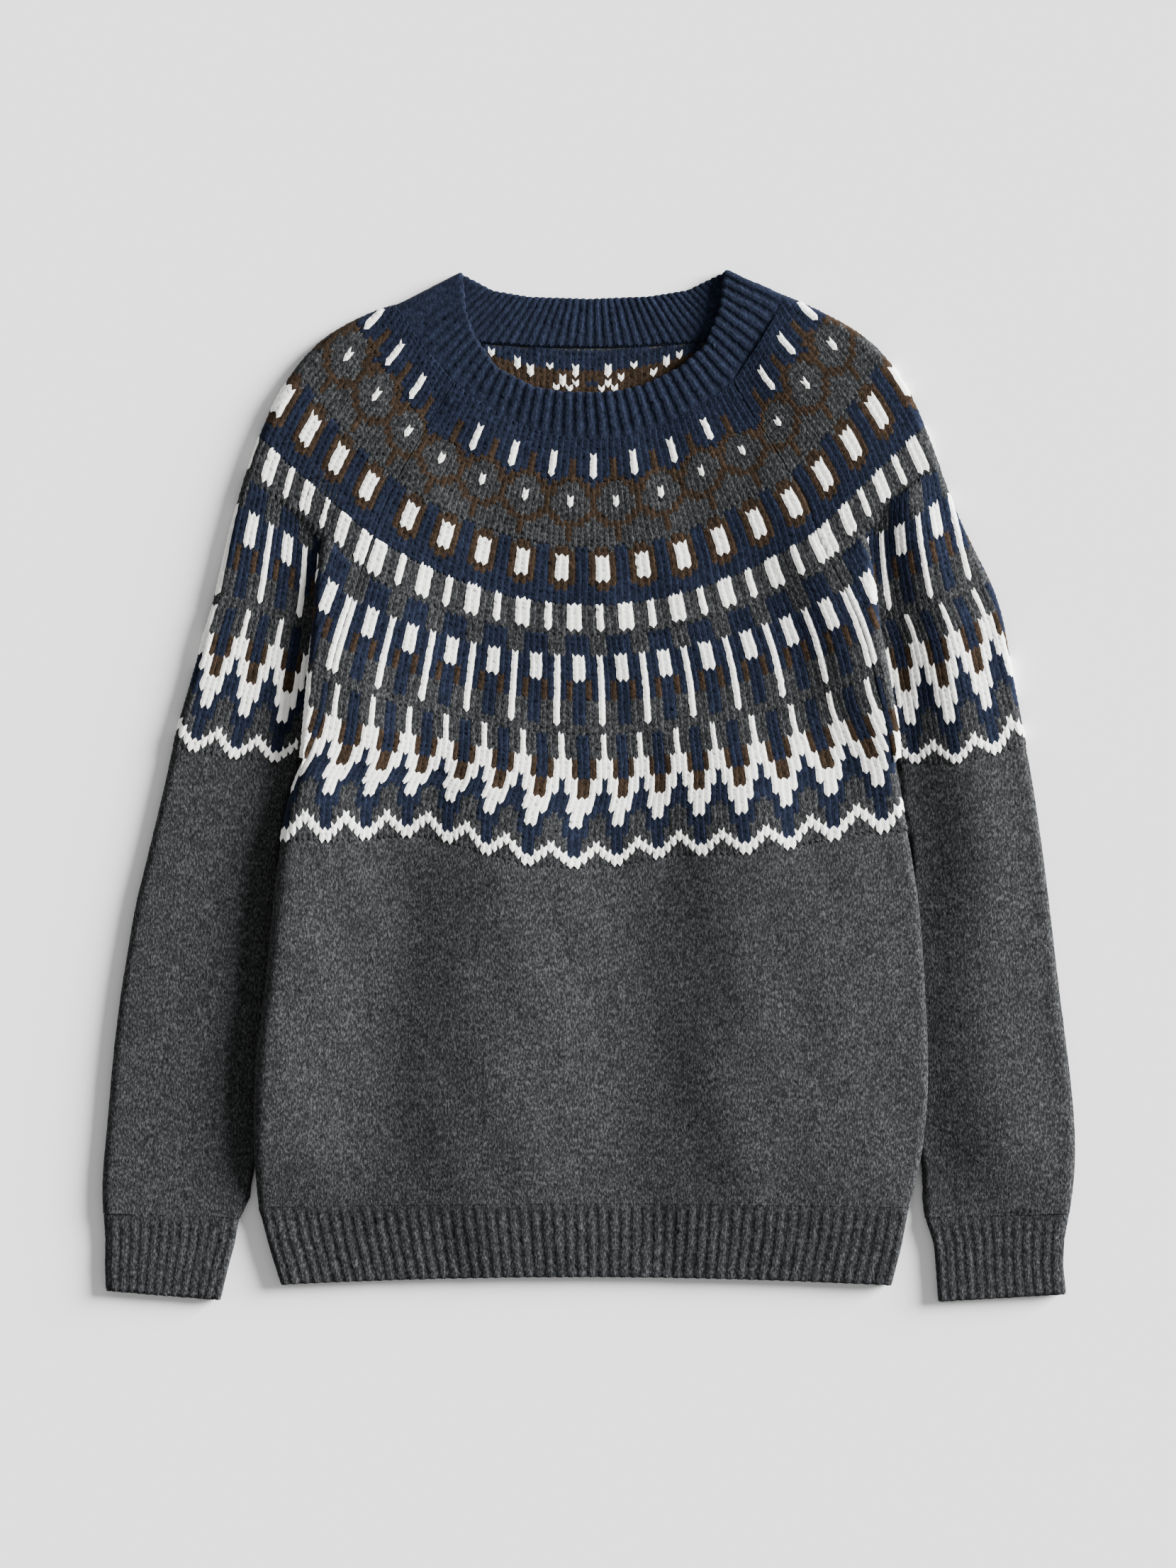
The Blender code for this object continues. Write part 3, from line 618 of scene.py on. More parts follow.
# how far each repeat of the zigzag band is drawn sideways on the front, at rows 0, 14 and 24
zigzagAt = (0, 0.12, 0.24, 0.36, 0.43, 0.49, 0.6, 0.72, 0.8, 0.86, 0.93, 1)
zigzagDrawn = {
    0: (5, 2.5, 1.4, -1.4, 0, 3, 2.8, 4, 5.5, 7, 12, 14),
    14: (-2.8, -2.8, -2.8, -2.8, 0, 3, 0.8, 1, 5, 9, 14, 16),
    24: (-6.9, -6.9, -6.5, -4, -3.5, 0.5, -1, -1.5, 1.5, 4, 6, 8),
}


def zigzagShift(rowAt, share):
    # the three lines above, eased from one to the next
    low, middle, high = (np.interp(share, zigzagAt, zigzagDrawn[row]) for row in (0, 14, 24))
    toMiddle, toHigh = np.clip(rowAt / 14, 0, 1), np.clip((rowAt - 14) / 10, 0, 1)
    return (low + (middle - low) * toMiddle + (high - middle) * toHigh) / 425  # of the row's length


def bodyPieces(prefix, table, height, other, isFront, form):
    facing = 1.0 if isFront else -1.0
    rows = np.arange(firstBodyRow, lastRow + 1)
    grid = bodyGrid(table, rows, height, other, isFront, cloth["wall"], bodyTurn, 260)
    surface = surfaceOf(firstBodyRow, grid, facing)
    ends = panelEnds(rows[::4], isFront)
    slab = clothSlab(prefix + "_cloth", grid[::4, ::4], cloth["slab"], "g", facing, ends=ends)

    def placeIn(count, start, isDrawn):
        def place(rowAt, position):
            share = 0.5 + (position + start) / count
            return share + zigzagShift(rowAt, share) if isDrawn else share

        return place

    plainRows = (firstBodyRow, 0)
    letters = np.zeros((1 - firstBodyRow, 105), int)
    place = placeIn(105, 0.0, False)
    patches = [knitPatch(surface, plainRows, (-52, 52), place, letters, flat, cloth["plainLift"], (0, 1))]
    for name, band in yokeBands.items():
        bandRows, sink = overlap(name)
        first = -(band["stitches"] // 2) - 2
        last = first + band["stitches"] + 3  # two stitches more at each side, cut off at the seam
        numbers = np.arange(first, last + 1)
        letters = bandLetters(band, bandRows, numbers + band.get("bodyStart", 0))
        if name == "dashes" and isFront:
            letters[:, np.abs(numbers) > 21] = yarnIndex["n"]  # the dashes at the raglan seams are sewn in
        start = band.get("halfway", 0.0) + (band.get("aside", 0.0) if isFront else 0.0)
        place = placeIn(band["stitches"], start, name == "zigzag" and isFront)
        lift = cloth["patternLift"]
        patches.append(knitPatch(surface, bandRows, (first, last), place, letters, form, lift, sink))
    stitches = joinPatches(prefix + "_stitches", patches, not isFront)
    dress([slab, stitches], prefix + "_panel")
    return slab, stitches


frontSlab, frontStitches = bodyPieces("front", frontTable, frontHeight, backHeight, True, plump)
backSlab, backStitches = bodyPieces("back", backTable, backHeight, frontHeight, False, flat)
print("front and back knitted")


def pointAt(table, row, column):
    # x and y of one of a table's lines at this knitted row
    return np.array([atRow(table, row, column), atRow(table, row, column + 1)])


def seamPoint(row, side):
    # the raglan seam on the front at this knitted row, and the front's height there
    seam = pointAt(frontTable, row, 1 if side < 0 else 3)
    return seam, float(frontHeight(*seam))


# Sleeves: where each knitted row lies, from the pleat or the seam to the outer edge
sleeves = {
    "left": {
        "side": -1,
        "puff": 0,  # rise of the sleeve's middle over its edges
        "rise": 1,  # how soon the sleeve comes up to its full height, from the pleat outward
        "slabLow": 4.2,  # height of the plain cloth's middle along the inner edge
        # outer x and y, inner x and y down the closed part
        "tube": [
            (-322.6, -283.4, -232.4, -286.6), (-323.6, -270, -225.6, -273), (-322.4, -250, -223.6, -253),
            (-319.6, -222, -214, -224), (-316.5, -184, -200.5, -186), (-311.6, -142, -194.5, -145),
            (-306, -108, -193.5, -112), (-300.5, -76, -203, -80), (-292.5, -45, -207, -50),
            (-286, -18, -204, -24), (-279.6, 9, -198, 1),
        ],
        # row, pleat x and y, middle x and y, outer x and y
        "low": [
            (0, -190.8, 17.4, -233.8, 18.8, -276.1, 27.7), (8, -188.2, 40.9, -228.2, 48.4, -267.2, 58.3),
            (13, -187.3, 58.3, -228.5, 67.7, -262.5, 73.8), (22, -185.4, 87.9, -224.2, 98.1, -255, 102.9),
            (28, -183.5, 107.6, -217.8, 120.8, -247.9, 125.5), (36, -180.7, 131.1, -214, 146.6, -241.3, 154.9),
            (43, -180.7, 155.6, -209.9, 175.8, -233.4, 188.5), (49, -176, 177, -198, 194, -224.5, 217),
        ],
        # row, middle x and y, outer x and y
        "high": [
            (45, -198, 178, -230.4, 197.5), (50, -186.5, 192.2, -222.5, 222.3), (60, -174, 222.2, -208, 257.1),
            (66, -160.4, 243, -191.1, 282.5), (73, -145.6, 262.2, -173.2, 299.4),
            (81, -124, 282.2, -143, 314.5), (87, -110, 293, -129, 318.2),
        ],
        # row and the edge of the pleat over the lower layer
        "pleat": [
            (12, -189.4, 20), (13, -189.6, 23), (18, -188.6, 40), (22, -186.9, 58.8), (28, -184.9, 81.3),
            (36, -182.2, 111.4), (43, -179.6, 147.6), (47, -176, 164), (50, -172, 180),
        ],
        # row and the raglan seam on the back, where the lower layer ends
        "backSeam": [
            (0, -190.8, 17.4), (8, -189.5, 22), (13, -187.9, 30), (18, -184, 43), (22, -179.6, 56),
            (34, -167, 92.2), (50, -150.2, 143.4), (64, -133.4, 194.6), (76, -116.6, 245.8), (87, -99.8, 297),
        ],
        # a repeat's middle and the stitch width: at a low row and at a high row
        "bands": {
            "zigzag": (9, 1.3, 3.67, 26, 2.6, 3.25), "bars": (28, 2.4, 4, 43, 0.4, 3.8),
            "alternating": (47, 6.8, 4.5, 52, 6.8, 4.5), "boxes": (53, 15.8, 4.5, 64, 15.4, 4.5),
            "flowers": (65, 11, 4.1, 77, 9, 4), "dashes": (78, 21.9, 4.6, 87, 20.5, 4.2),
        },
        # the same between the seam and the pleat, where the width stays one
        "strip": {"zigzag": (14, 4), "bars": (2.2, 4.1)},
    },
    "right": {
        "side": 1,
        "puff": 4.4,
        "rise": 1.6,
        "slabLow": 5.2,
        "tube": [
            (319.4, -283.4, 224, -286.6), (321.6, -270, 222, -273), (323.4, -250, 223.4, -253),
            (322.9, -222, 215, -224), (318.9, -184, 204.5, -186), (313.4, -142, 200.5, -145),
            (309.4, -108, 203, -112), (305.7, -76, 213, -80), (301.7, -45, 216.2, -49),
            (298.2, -20, 211.4, -24), (293.6, 9, 207, 1),
        ],
        "low": [
            (0, 206, 17.5, 244.2, 15.3, 289.8, 29), (8, 203, 42.8, 239.6, 43.7, 283.2, 63),
            (13, 200.6, 60.6, 236.7, 63.9, 279.4, 84.1), (22, 195.3, 92.6, 232.9, 100.6, 273.3, 119.7),
            (28, 192.9, 114.2, 230, 125, 264.2, 140.2), (36, 189.7, 141.5, 221.5, 153.2, 249.5, 168.3),
            (43, 188.2, 167.8, 215, 180, 238.5, 194.9), (49, 184, 188, 206, 199, 229.5, 221),
        ],
        "high": [
            (45, 204, 184, 236, 202.5), (50, 191, 197.3, 227.7, 227.5), (60, 176.5, 226.5, 209.4, 269.8),
            (66, 160.9, 248.3, 190.7, 291.8), (73, 145, 264.5, 173.7, 304.1), (81, 125.1, 286.9, 146.1, 318),
            (87, 111.6, 292, 131.4, 324),
        ],
        "pleat": [
            (12, 205.6, 20), (13, 205.9, 24), (18, 205.6, 37.6), (22, 202.8, 54.6), (28, 197, 84),
            (36, 191, 115.6), (43, 188, 147.6), (47, 184, 166), (50, 179, 182),
        ],
        "backSeam": [
            (0, 206, 17.5), (8, 204, 22), (13, 202.9, 30), (18, 199.5, 43), (22, 195, 56),
            (34, 180.2, 93.2), (50, 161.1, 144.4), (64, 142, 195.6), (76, 122.9, 246.8), (87, 103.8, 298),
        ],
        "bands": {
            "zigzag": (9, 9.5, 3.75, 26, 13.5, 3.4), "bars": (28, 12.8, 4.1, 43, 0.4, 3.75),
            "alternating": (47, 8, 4.5, 52, 8, 4.5), "boxes": (53, 19.4, 4.6, 64, 19.4, 4.6),
            "flowers": (65, 13, 4, 77, 12, 3.9), "dashes": (78, 24.3, 4.5, 87, 22, 4.2),
        },
        "strip": {"zigzag": (14, 4), "bars": (2.2, 4.1)},
    },
}
sleeveForm = {
    "highRows": (45, lastRow),  # above the pleat, where a row starts at the raglan seam
    "lowRows": (firstSleeveRow, 49),
    "highRise": 1.6,
    "highPuff": 0.3,
    "leftDip": 0.9,  # the left sleeve's lower layer starts this much lower
    "closing": 8,  # rows over which the tube opens above the underarm
    "underPleat": 7.0,  # how far the lower layer then goes in under the pleat
    "settle": 16,  # the last rows lie flatter, down to the cuff
    "settledDip": 0.9,
    "stripRows": (12, 50),
    "stripLift": 0.5,  # how much the pleat's edge stands up
    "pleatRadius": (0.5, 2.4),  # of its edge: at the pleat's ends, and how much more between them
    "plainStart": (2.0, 4.0),  # a stitch's middle and the stitch width by the cuff, and below the yoke
    "plainEnd": (1.3, 3.8),
    "undyedReach": 6.5,  # the alternating band's stitches this near to the seam are undyed
}
# middle height of the lower layer beside the pleat, by knitted row
pleatLow = (
    (-94, 5.4), (-6, 5.4), (0, 5.6), (8, 5.4), (13, 5.2), (22, 5.4), (28, 5.7), (36, 6.0), (43, 6.6),
    (49, 8.2),
)


def sleeveTables(sleeve):
    tube = np.array(sleeve["tube"])
    rows = ((tube[:, 1] + tube[:, 3]) / 2 - 22.5) / cloth["rowDepth"]
    rows[0] = firstSleeveRow
    middle = (tube[:, :2] + tube[:, 2:]) / 2
    upper = np.column_stack([rows, tube[:, 2:], middle, tube[:, :2]])
    return fineTable(np.concatenate([upper, np.array(sleeve["low"])])), fineTable(sleeve["high"])


def sleeveRow(sleeve, low, high, row, isHigh):
    # points round one knitted row, from the seam or the pleat over the top and back under
    side, crown, floor = sleeve["side"], cloth["crown"], cloth["floor"]
    back = pointAt(np.array(sleeve["backSeam"]), row, 1)
    if isHigh:
        inner, startHeight = seamPoint(row, side)
        inner[0] -= cloth["seamLap"] * side
        middle, outer = pointAt(high, row, 1), pointAt(high, row, 3)
        rise, puff, tube = sleeveForm["highRise"], sleeve["puff"] * sleeveForm["highPuff"], 0.0
    else:
        inner, middle, outer = (pointAt(low, row, n) for n in (1, 3, 5))
        if row < 0:
            back = inner  # below the underarm the sleeve is a closed tube
        startHeight = float(np.interp(row, *zip(*pleatLow))) - (sleeveForm["leftDip"] if side < 0 else 0.0)
        rise, puff, tube = sleeve["rise"], sleeve["puff"], float(1 - smoothStep(row / sleeveForm["closing"]))
    outer = outer - np.array([side * cloth["wall"] / 2, 0])
    line = curveThrough([inner, middle, outer], np.linspace(0, 1, 41))
    inward = unit(line[-3] - line[-1])
    radius = (crown - floor) / 2
    line = line[np.linalg.norm(line - line[-1], axis=1) > radius * 1.02]
    along = np.linspace(0, 1, 41)[: len(line)]
    settled = float(smoothStep((row - firstSleeveRow) / sleeveForm["settle"]))
    puff = puff * settled - sleeveForm["settledDip"] * (1 - settled)
    heights = startHeight + (crown - startHeight) * smoothStep(rise * along)
    heights = heights + puff * np.sin(math.pi * along) ** 2
    small = (startHeight - floor) / 2
    start = np.zeros((0, 3))
    if not isHigh:
        # a rounded inner edge on the tube, and above the underarm a layer that goes in under the pleat
        angle = np.radians(np.linspace(0, 84, 7))
        away = unit(line[1] - line[0])
        reach = sleeveForm["underPleat"] * (1 - tube)
        shift = tube * small * (1 - np.cos(angle)) + (1 - tube) * reach * (angle / angle[-1] - 1)
        start = np.column_stack([
            line[0] + away * shift[:, None],
            (floor + small + small * np.sin(angle)) * tube + startHeight * (1 - tube),
        ])
        keep = np.linalg.norm(line - line[0], axis=1) > small * tube + 0.4
        line, heights = line[keep], heights[keep]
    top = np.column_stack([line, heights])
    angle = np.radians(np.linspace(84, -90, 13))
    place = outer + inward * radius * (1 - np.cos(angle))[:, None]
    turn = np.column_stack([place, (crown + floor) / 2 + radius * np.sin(angle)])
    first = turn[-1, :2]
    reachBack = back - first
    distance = np.linalg.norm(reachBack)
    shares = np.linspace(0.06, 1 - tube * small / distance, 14)
    parts = [start, top, turn, np.column_stack([first + reachBack * shares[:, None], np.full(14, floor)])]
    if tube > 0.3:
        angle = np.radians(np.linspace(-70, -6, 4))
        shift = small * (1 - np.cos(angle)) * tube
        place = back - reachBack / distance * shift[:, None]
        parts.append(np.column_stack([place, floor + (small + small * np.sin(angle)) * tube]))
    points = np.concatenate(parts)
    at = lengthsAlong(points)
    outermost = len(start) + len(top) + 6  # the middle of the turn
    return evenly(points, 240), at[outermost], at[-1]


def sleeveSurface(sleeve, low, high, rows, isHigh):
    found = [sleeveRow(sleeve, low, high, row, isHigh) for row in range(rows[0], rows[1] + 1)]
    grid, outer, whole = zip(*found)
    # seen from outside, a row runs toward the outer edge, which is leftward on the left sleeve
    surface = surfaceOf(rows[0], np.array(grid), sleeve["side"])
    return dict(surface, outer=np.array(outer), whole=np.array(whole))


def sleevePlace(surface, values, fromSeam, shift):
    lowRow, lowStart, lowWidth, highRow, highStart, highWidth = values

    def place(rowAt, position):
        share = np.clip((rowAt - lowRow) / (highRow - lowRow), -0.6, 1.6)
        start = lowStart + (highStart - lowStart) * share
        width = lowWidth + (highWidth - lowWidth) * share
        number = np.arange(len(surface["whole"]))
        index = np.clip(rowAt - surface["first"], 0, number[-1])
        distance = start + (position + shift) * width
        if not fromSeam:
            distance = np.interp(index, number, surface["outer"]) - distance
        return distance / np.interp(index, number, surface["whole"])

    return place


def stripSurface(sleeve):
    # the part of the sleeve between the seam and the pleat's rounded edge
    side = sleeve["side"]
    pleat = fineTable(sleeve["pleat"])
    first, last = sleeveForm["stripRows"]
    thin, thick = sleeveForm["pleatRadius"]
    grid = []
    for row in range(first, last + 1):
        seam, height = seamPoint(row, side)
        seam[0] -= cloth["seamLap"] * side
        raised = smoothStep((row - first - 2) / 8) * smoothStep((last - row) / 8)
        height += sleeveForm["stripLift"] * float(raised)
        edge = pointAt(pleat, row, 1)
        away = unit(edge - seam)
        radius = thin + thick * float(smoothStep((row - first) / 8) * smoothStep((last + 2 - row) / 8))
        centre = edge - away * (radius + cloth["base"])
        angle = np.radians(np.linspace(90, -75, 12))[:, None]
        arc = np.hstack([centre + away * radius * np.cos(angle), height - radius + radius * np.sin(angle)])
        share = np.linspace(0, 1, 12)[:-1, None]
        top = np.column_stack([seam * (1 - share) + centre * share, np.full(11, height)])
        grid.append(evenly(np.concatenate([top, arc]), 60))
    surface = surfaceOf(first, np.array(grid), side)
    return dict(surface, whole=surface["length"])


def halfTurn(edge, inward, top, bottom):
    # four points round a folded edge, from the upper layer to the lower
    radius = (top - bottom) / 2
    points = []
    for angle in np.radians((62, 22, -22, -62)):
        place = edge + inward * radius * (1 - np.cos(angle))
        points.append((*place, (top + bottom) / 2 + radius * np.sin(angle)))
    return points


def slabRowOpen(row, side):
    # the CAD's own form for an upper sleeve row, which the plain cloth under the stitches keeps
    outerX, outerY, middleX, middleY, foldX, foldY, seamRow, step, backY = row
    crown, floor = cloth["crown"], cloth["floor"]
    seam, seamHeight = seamPoint(seamRow, side)
    column = 1 if side < 0 else 3
    back = np.array([np.interp(backY, backTable[:, column + 1], backTable[:, column]), backY])
    gap = cloth["seamGap"] + (0.9 if seamRow < 16 else 0.0)
    seam[0] += gap * side
    back[0] += gap * side
    top = np.array([foldX - side * 4.2, foldY - 0.4])
    isFolded = step > 0.3
    low = (4.2 if side < 0 else 5.0) if isFolded else seamHeight - step
    ends = (foldX, foldY), (middleX, middleY), (outerX - side * cloth["wall"] / 2, outerY)
    line = curveThrough(ends, np.linspace(0, 1, 8))
    inward = unit(line[-2] - line[-1])
    topHeight = seamHeight if isFolded else (seamHeight + low) / 2
    points = [(*seam, seamHeight), (*(seam * 0.5 + top * 0.5), seamHeight - 0.3), (*top, topHeight - 0.6)]
    rise = smoothStep(np.linspace(0, 1.0 if side < 0 and isFolded else 1.5, 8))
    for n in range(6):
        points.append((*line[n], low + (crown - low) * rise[n] - (0.5 if n < 2 else 0.2)))
    points.append((*(line[6] * 0.6 + (line[-1] + inward * (crown - floor) / 2) * 0.4), crown - 0.2))
    points += halfTurn(line[-1], inward, crown, floor)
    for share in (0.16, 0.36, 0.56, 0.76, 0.9, 1.0):
        points.append((*(line[-1] * (1 - share) + back * share), floor))
    return points


def slabRowTube(row, side, low, crown=cloth["crown"], floor=cloth["floor"], wallSize=cloth["wall"], steep=1.4):
    # the same for a row of the closed tube, from its inner edge round to it again
    outer = np.array([row[0] - side * wallSize / 2, row[1]])
    inner = np.array([row[2], row[3]])
    inward = unit(inner - outer)
    radius, small, middle = (crown - floor) / 2, (low - floor) / 2, (low + floor) / 2
    points = []
    for angle in np.radians((6, 48, 90)):
        place = inner - inward * small * (1 - np.cos(angle))
        points.append((*place, middle + small * np.sin(angle)))
    start, end = inner - inward * 9, outer + inward * radius
    for n in range(7):
        share = n / 6 * 0.98
        rise = smoothStep(n / 6 * steep)
        points.append((*(start * (1 - share) + end * share), low + (crown - low) * rise))
    points += halfTurn(outer, inward, crown, floor)
    backStart = outer + inward * (radius + 4)
    for share in (0.0, 0.4, 0.75, 1.0):
        points.append((*(backStart * (1 - share) + start * share), floor))
    points.append((*(inner - inward * small), floor))
    points.append((*inner, middle - small * np.sin(np.radians(6))))
    return points


# Rows of the plain cloth above the underarm, from the neck down: outer x and y, middle x and y, the pleat's
# x and y, the seam's knitted row, how far the sleeve steps down at the pleat, y of the seam on the back
slabRows = {
    "left": [
        (-129, 318.2, -114.5, 298, -98.6, 277.2, 87, 0, 297),
        (-148, 311.5, -127, 284, -113, 262, 81, 0, 280),
        (-173.2, 299.4, -151.6, 271.2, -131.5, 247, 73, 0, 257),
        (-191.1, 282.5, -166, 250, -144, 227, 66, 0, 235),
        (-208, 257.1, -178, 226, -154, 205, 60, 0, 213),
        (-222.5, 222.3, -188, 194, -166.5, 175.5, 50, 0.2, 178),
        (-235.6, 178, -208, 163, -180.2, 147.6, 43, 3.6, 147),
        (-247.9, 131, -217, 124, -182.9, 111.4, 36, 4.9, 111),
        (-257, 97, -226, 92, -185.8, 81.3, 28, 5.6, 82),
        (-262.9, 73.8, -230, 67.7, -187.8, 58.8, 22, 6, 60),
        (-266.8, 58.3, -231, 50, -190.4, 40, 18, 5.4, 41),
        (-271.2, 44, -232.5, 36, -193.4, 27, 15.5, 3.4, 27),
    ],
    "right": [
        (131.5, 324.6, 119.5, 302, 105, 278.6, 87, 0, 298),
        (147.5, 317.5, 131, 287, 118, 265, 81, 0, 281),
        (173.7, 304.1, 152, 273, 134, 250, 73, 0, 258),
        (193, 290, 168, 256, 147, 231, 66, 0, 236),
        (209.5, 269.8, 180, 229.5, 161, 209, 60, 0, 214),
        (227, 227.5, 198, 203, 173, 180, 50, 0.2, 179),
        (241, 182, 216, 168, 188.8, 148, 43, 3.6, 148),
        (263, 132, 228, 125, 191.4, 116, 36, 4.9, 116),
        (275.5, 99, 236, 90, 197, 84.5, 28, 5.6, 84),
        (283, 66, 239, 57, 203, 55, 22, 5.8, 58),
        (286, 50, 243, 41, 206, 38, 18, 5.2, 42),
        (288.2, 40, 245, 32, 208.4, 27, 15.5, 3.4, 27),
    ],
}


def sleevePieces(name):
    sleeve = sleeves[name]
    side = sleeve["side"]
    low, high = sleeveTables(sleeve)
    upper = sleeveSurface(sleeve, low, high, sleeveForm["highRows"], True)
    lower = sleeveSurface(sleeve, low, high, sleeveForm["lowRows"], False)

    # plain rows below the pattern: stitches of one width, lost one by one at the underarm seam
    plain = (firstSleeveRow, *sleeveForm["plainStart"], 0, *sleeveForm["plainEnd"])
    place = sleevePlace(lower, plain, False, 0.0)
    first = math.floor(-(lower["whole"] - lower["outer"]).max() / plain[-1]) - 2
    last = math.ceil(lower["outer"].max() / plain[-1]) + 1
    letters = np.zeros((1 - firstSleeveRow, last - first + 1), int)
    rows = (firstSleeveRow, 0)
    patches = [knitPatch(lower, rows, (first, last), place, letters, flat, cloth["plainLift"], (0, 1))]

    def addBand(surface, bandName, values, fromSeam, lowest=0):
        band = yokeBands[bandName]
        rows, sink = overlap(bandName)
        rows = (max(rows[0], lowest), rows[1])
        width = min(values[2], values[5])
        if fromSeam:
            first = math.floor(-max(values[1], values[4]) / width) - 1
            last = math.ceil(surface["whole"].max() / width) + 1
        else:
            first = math.floor(-(surface["whole"] - surface["outer"]).max() / width) - 3
            last = math.ceil(surface["outer"].max() / width) + 1
        numbers = np.arange(first, last + 1)
        letters = bandLetters(band, rows, numbers)
        if bandName == "alternating":
            # the stitches beside the seam are undyed in each of this band's block rows
            isBlock = np.isin(np.arange(rows[0], rows[1] + 1), np.arange(48, 53))
            isNear = values[1] + numbers * values[2] < sleeveForm["undyedReach"]
            letters[np.ix_(isBlock, isNear)] = yarnIndex["w"]
        place = sleevePlace(surface, values, fromSeam, band.get("halfway", 0.0))
        lift = cloth["patternLift"]
        patches.append(knitPatch(surface, rows, (first, last), place, letters, plump, lift, sink))

    for bandName, values in sleeve["bands"].items():
        isUpper = values[0] >= 47  # above the pleat, where the stitches are counted from the seam
        addBand(upper if isUpper else lower, bandName, values, isUpper)
    strip = stripSurface(sleeve)
    for bandName, (start, width) in sleeve["strip"].items():
        addBand(strip, bandName, (12, start, width, 47, start, width), True, sleeveForm["stripRows"][0])
    stitches = joinPatches("sleeve_" + name + "_stitches", patches, side < 0)
    steep = sleeve["rise"] * 0.85
    tubes = [(*sleeve["low"][0][5:7], *sleeve["low"][0][1:3]), *np.array(sleeve["tube"])[::-1]]
    rows = [slabRowOpen(row, side) for row in slabRows[name]]
    rows += [slabRowTube(row, side, sleeve["slabLow"], steep=steep) for row in tubes]
    # its edges face up and down at the seam, and sideways on the tube
    ends = [((0, 0, 1), (0, 0, -1))] * 11 + [((-side * 0.45, 0, 0.89), (-side * 0.45, 0, -0.89))]
    ends += [((-side, 0, 0), (-side, 0, 0))] * 12
    grid, ends = np.array(rows)[::-1], np.array(ends, float)[::-1]
    slab = clothSlab("sleeve_" + name + "_cloth", grid, cloth["slab"], "g", side, ends=ends)
    dress([slab, stitches], "sleeve_" + name)
    return slab, stitches, grid[-1]


leftSlab, leftStitches, leftTop = sleevePieces("left")
rightSlab, rightStitches, rightTop = sleevePieces("right")
print("sleeves knitted")


# Ribs: one knit wale and one purl wale in each pitch
ribStitch = {
    "at": (-0.5, -0.34, -0.24, -0.12, 0, 0.12, 0.24, 0.34),
    "slant": (0, 0.05, 0.3, 0.08, -0.3, 0.08, 0.3, 0.05),
    "ridge": (0.1, 0.2, 0.85, 1.25, 1.05, 1.25, 0.85, 0.2),
    "valley": (-0.1, 0.05, 0.65, 1, 0.8, 1, 0.65, 0.05),
}
# "half" is half the thickness that the ribs stand on, "inside" counts the rows on the inner side, "slab" and
# "plain" are the thickness and yarn of the plain cloth, and "every" thins its grid
greyRib = {"rowDepth": 3.1, "half": 0.9, "slab": 1.6, "plain": "g", "yarn": "r", "slot": "grey_rib"}
ribs = {
    "hem": dict(greyRib, count=58, lift=0.52, inside=4, every=4),
    "cuff": dict(greyRib, count=27, lift=0.4, inside=3, every=3),
    "neck": {
        "count": 84, "rowDepth": 3.0, "lift": 0.72, "half": 1.2, "inside": 5,
        "slab": 2.0, "every": 4, "plain": "n", "yarn": "n", "slot": "navy_wool",
    },
}


def ribSkin(grid, facing, form, closed):
    # grid runs from the seam to the free edge
    half = form["half"]
    normal = gridNormals(grid, closed) * facing
    outward = unit(grid[-1] - grid[-2])
    rows = list(grid + normal * half)
    rows.insert(0, rows[0] + unit(rows[0] - rows[1]) * rib["over"] - normal[0] * rib["overSink"])
    for angle in np.radians((60, 20, -20, -60)):
        rows.append(grid[-1] + normal[-1] * half * math.sin(angle) + outward * half * math.cos(angle))
    for n in range(1, form["inside"] + 1):
        rows.append(grid[-n] - normal[-n] * half)
    skin = np.array(rows)
    return np.concatenate([skin, skin[:, :1]], 1) if closed else skin


def resampleRows(grid, depth):
    # evenly spaced rows, about this far apart by the mean distance between the old ones
    steps = np.linalg.norm(np.diff(grid, axis=0), axis=2).mean(1)
    at = np.concatenate([[0], np.cumsum(steps)])
    where = np.linspace(0, at[-1], round(at[-1] / depth) + 1)
    k = np.clip(np.searchsorted(at, where, side="right") - 1, 0, len(at) - 2)
    t = ((where - at[k]) / (at[k + 1] - at[k]))[:, None, None]
    return grid[k] * (1 - t) + grid[k + 1] * t


def ribStart(rowAt, share):
    # the first rows of a rib are still nearly flat
    return np.clip(rowAt / 3, 0.25, 1)


def neckStart(rowAt, share):
    # the back half of the neckband also keeps a plain strip inside, below its ribs
    isBack = smoothStep((share - 0.5) / 0.04) * smoothStep((1 - share) / 0.04)
    return ribStart(rowAt, share) * (1 - isBack) + 0.7 * np.clip((rowAt - 2.2) / 1.6, 0, 1) * isBack


def ribPieces(kind, name, node, grid, facing):
    form, closed = ribs[kind], kind == "neck"
    count = form["count"]
    slab = clothSlab(name + "_cloth", grid[:, :: form["every"]], form["slab"], form["plain"], facing, closed)
    surface = surfaceOf(0, resampleRows(ribSkin(grid, facing, form, closed), form["rowDepth"]), 1.0)
    # the skin's normals all point away from the cloth once their sense is set by the first row
    own = np.concatenate([grid, grid[:, :1]], 1) if closed else grid
    sense = np.sign((surface["normal"][2] * (gridNormals(own) * facing)[1]).sum())
    surface["normal"] *= sense
    last = len(surface["grid"]) - 2
    letters = np.full((last, count), yarnIndex[form["yarn"]])

    def place(rowAt, position):
        return (position + 0.5) / count

    ramp = neckStart if closed else ribStart
    patch = knitPatch(
        surface, (1, last), (0, count - 1), place, letters, ribStitch, form["lift"], base=0.0, ramp=ramp
    )
    stitches = joinPatches(name + "_stitches", [patch], sense < 0)
    dress([slab, stitches], node)
    return slab, stitches


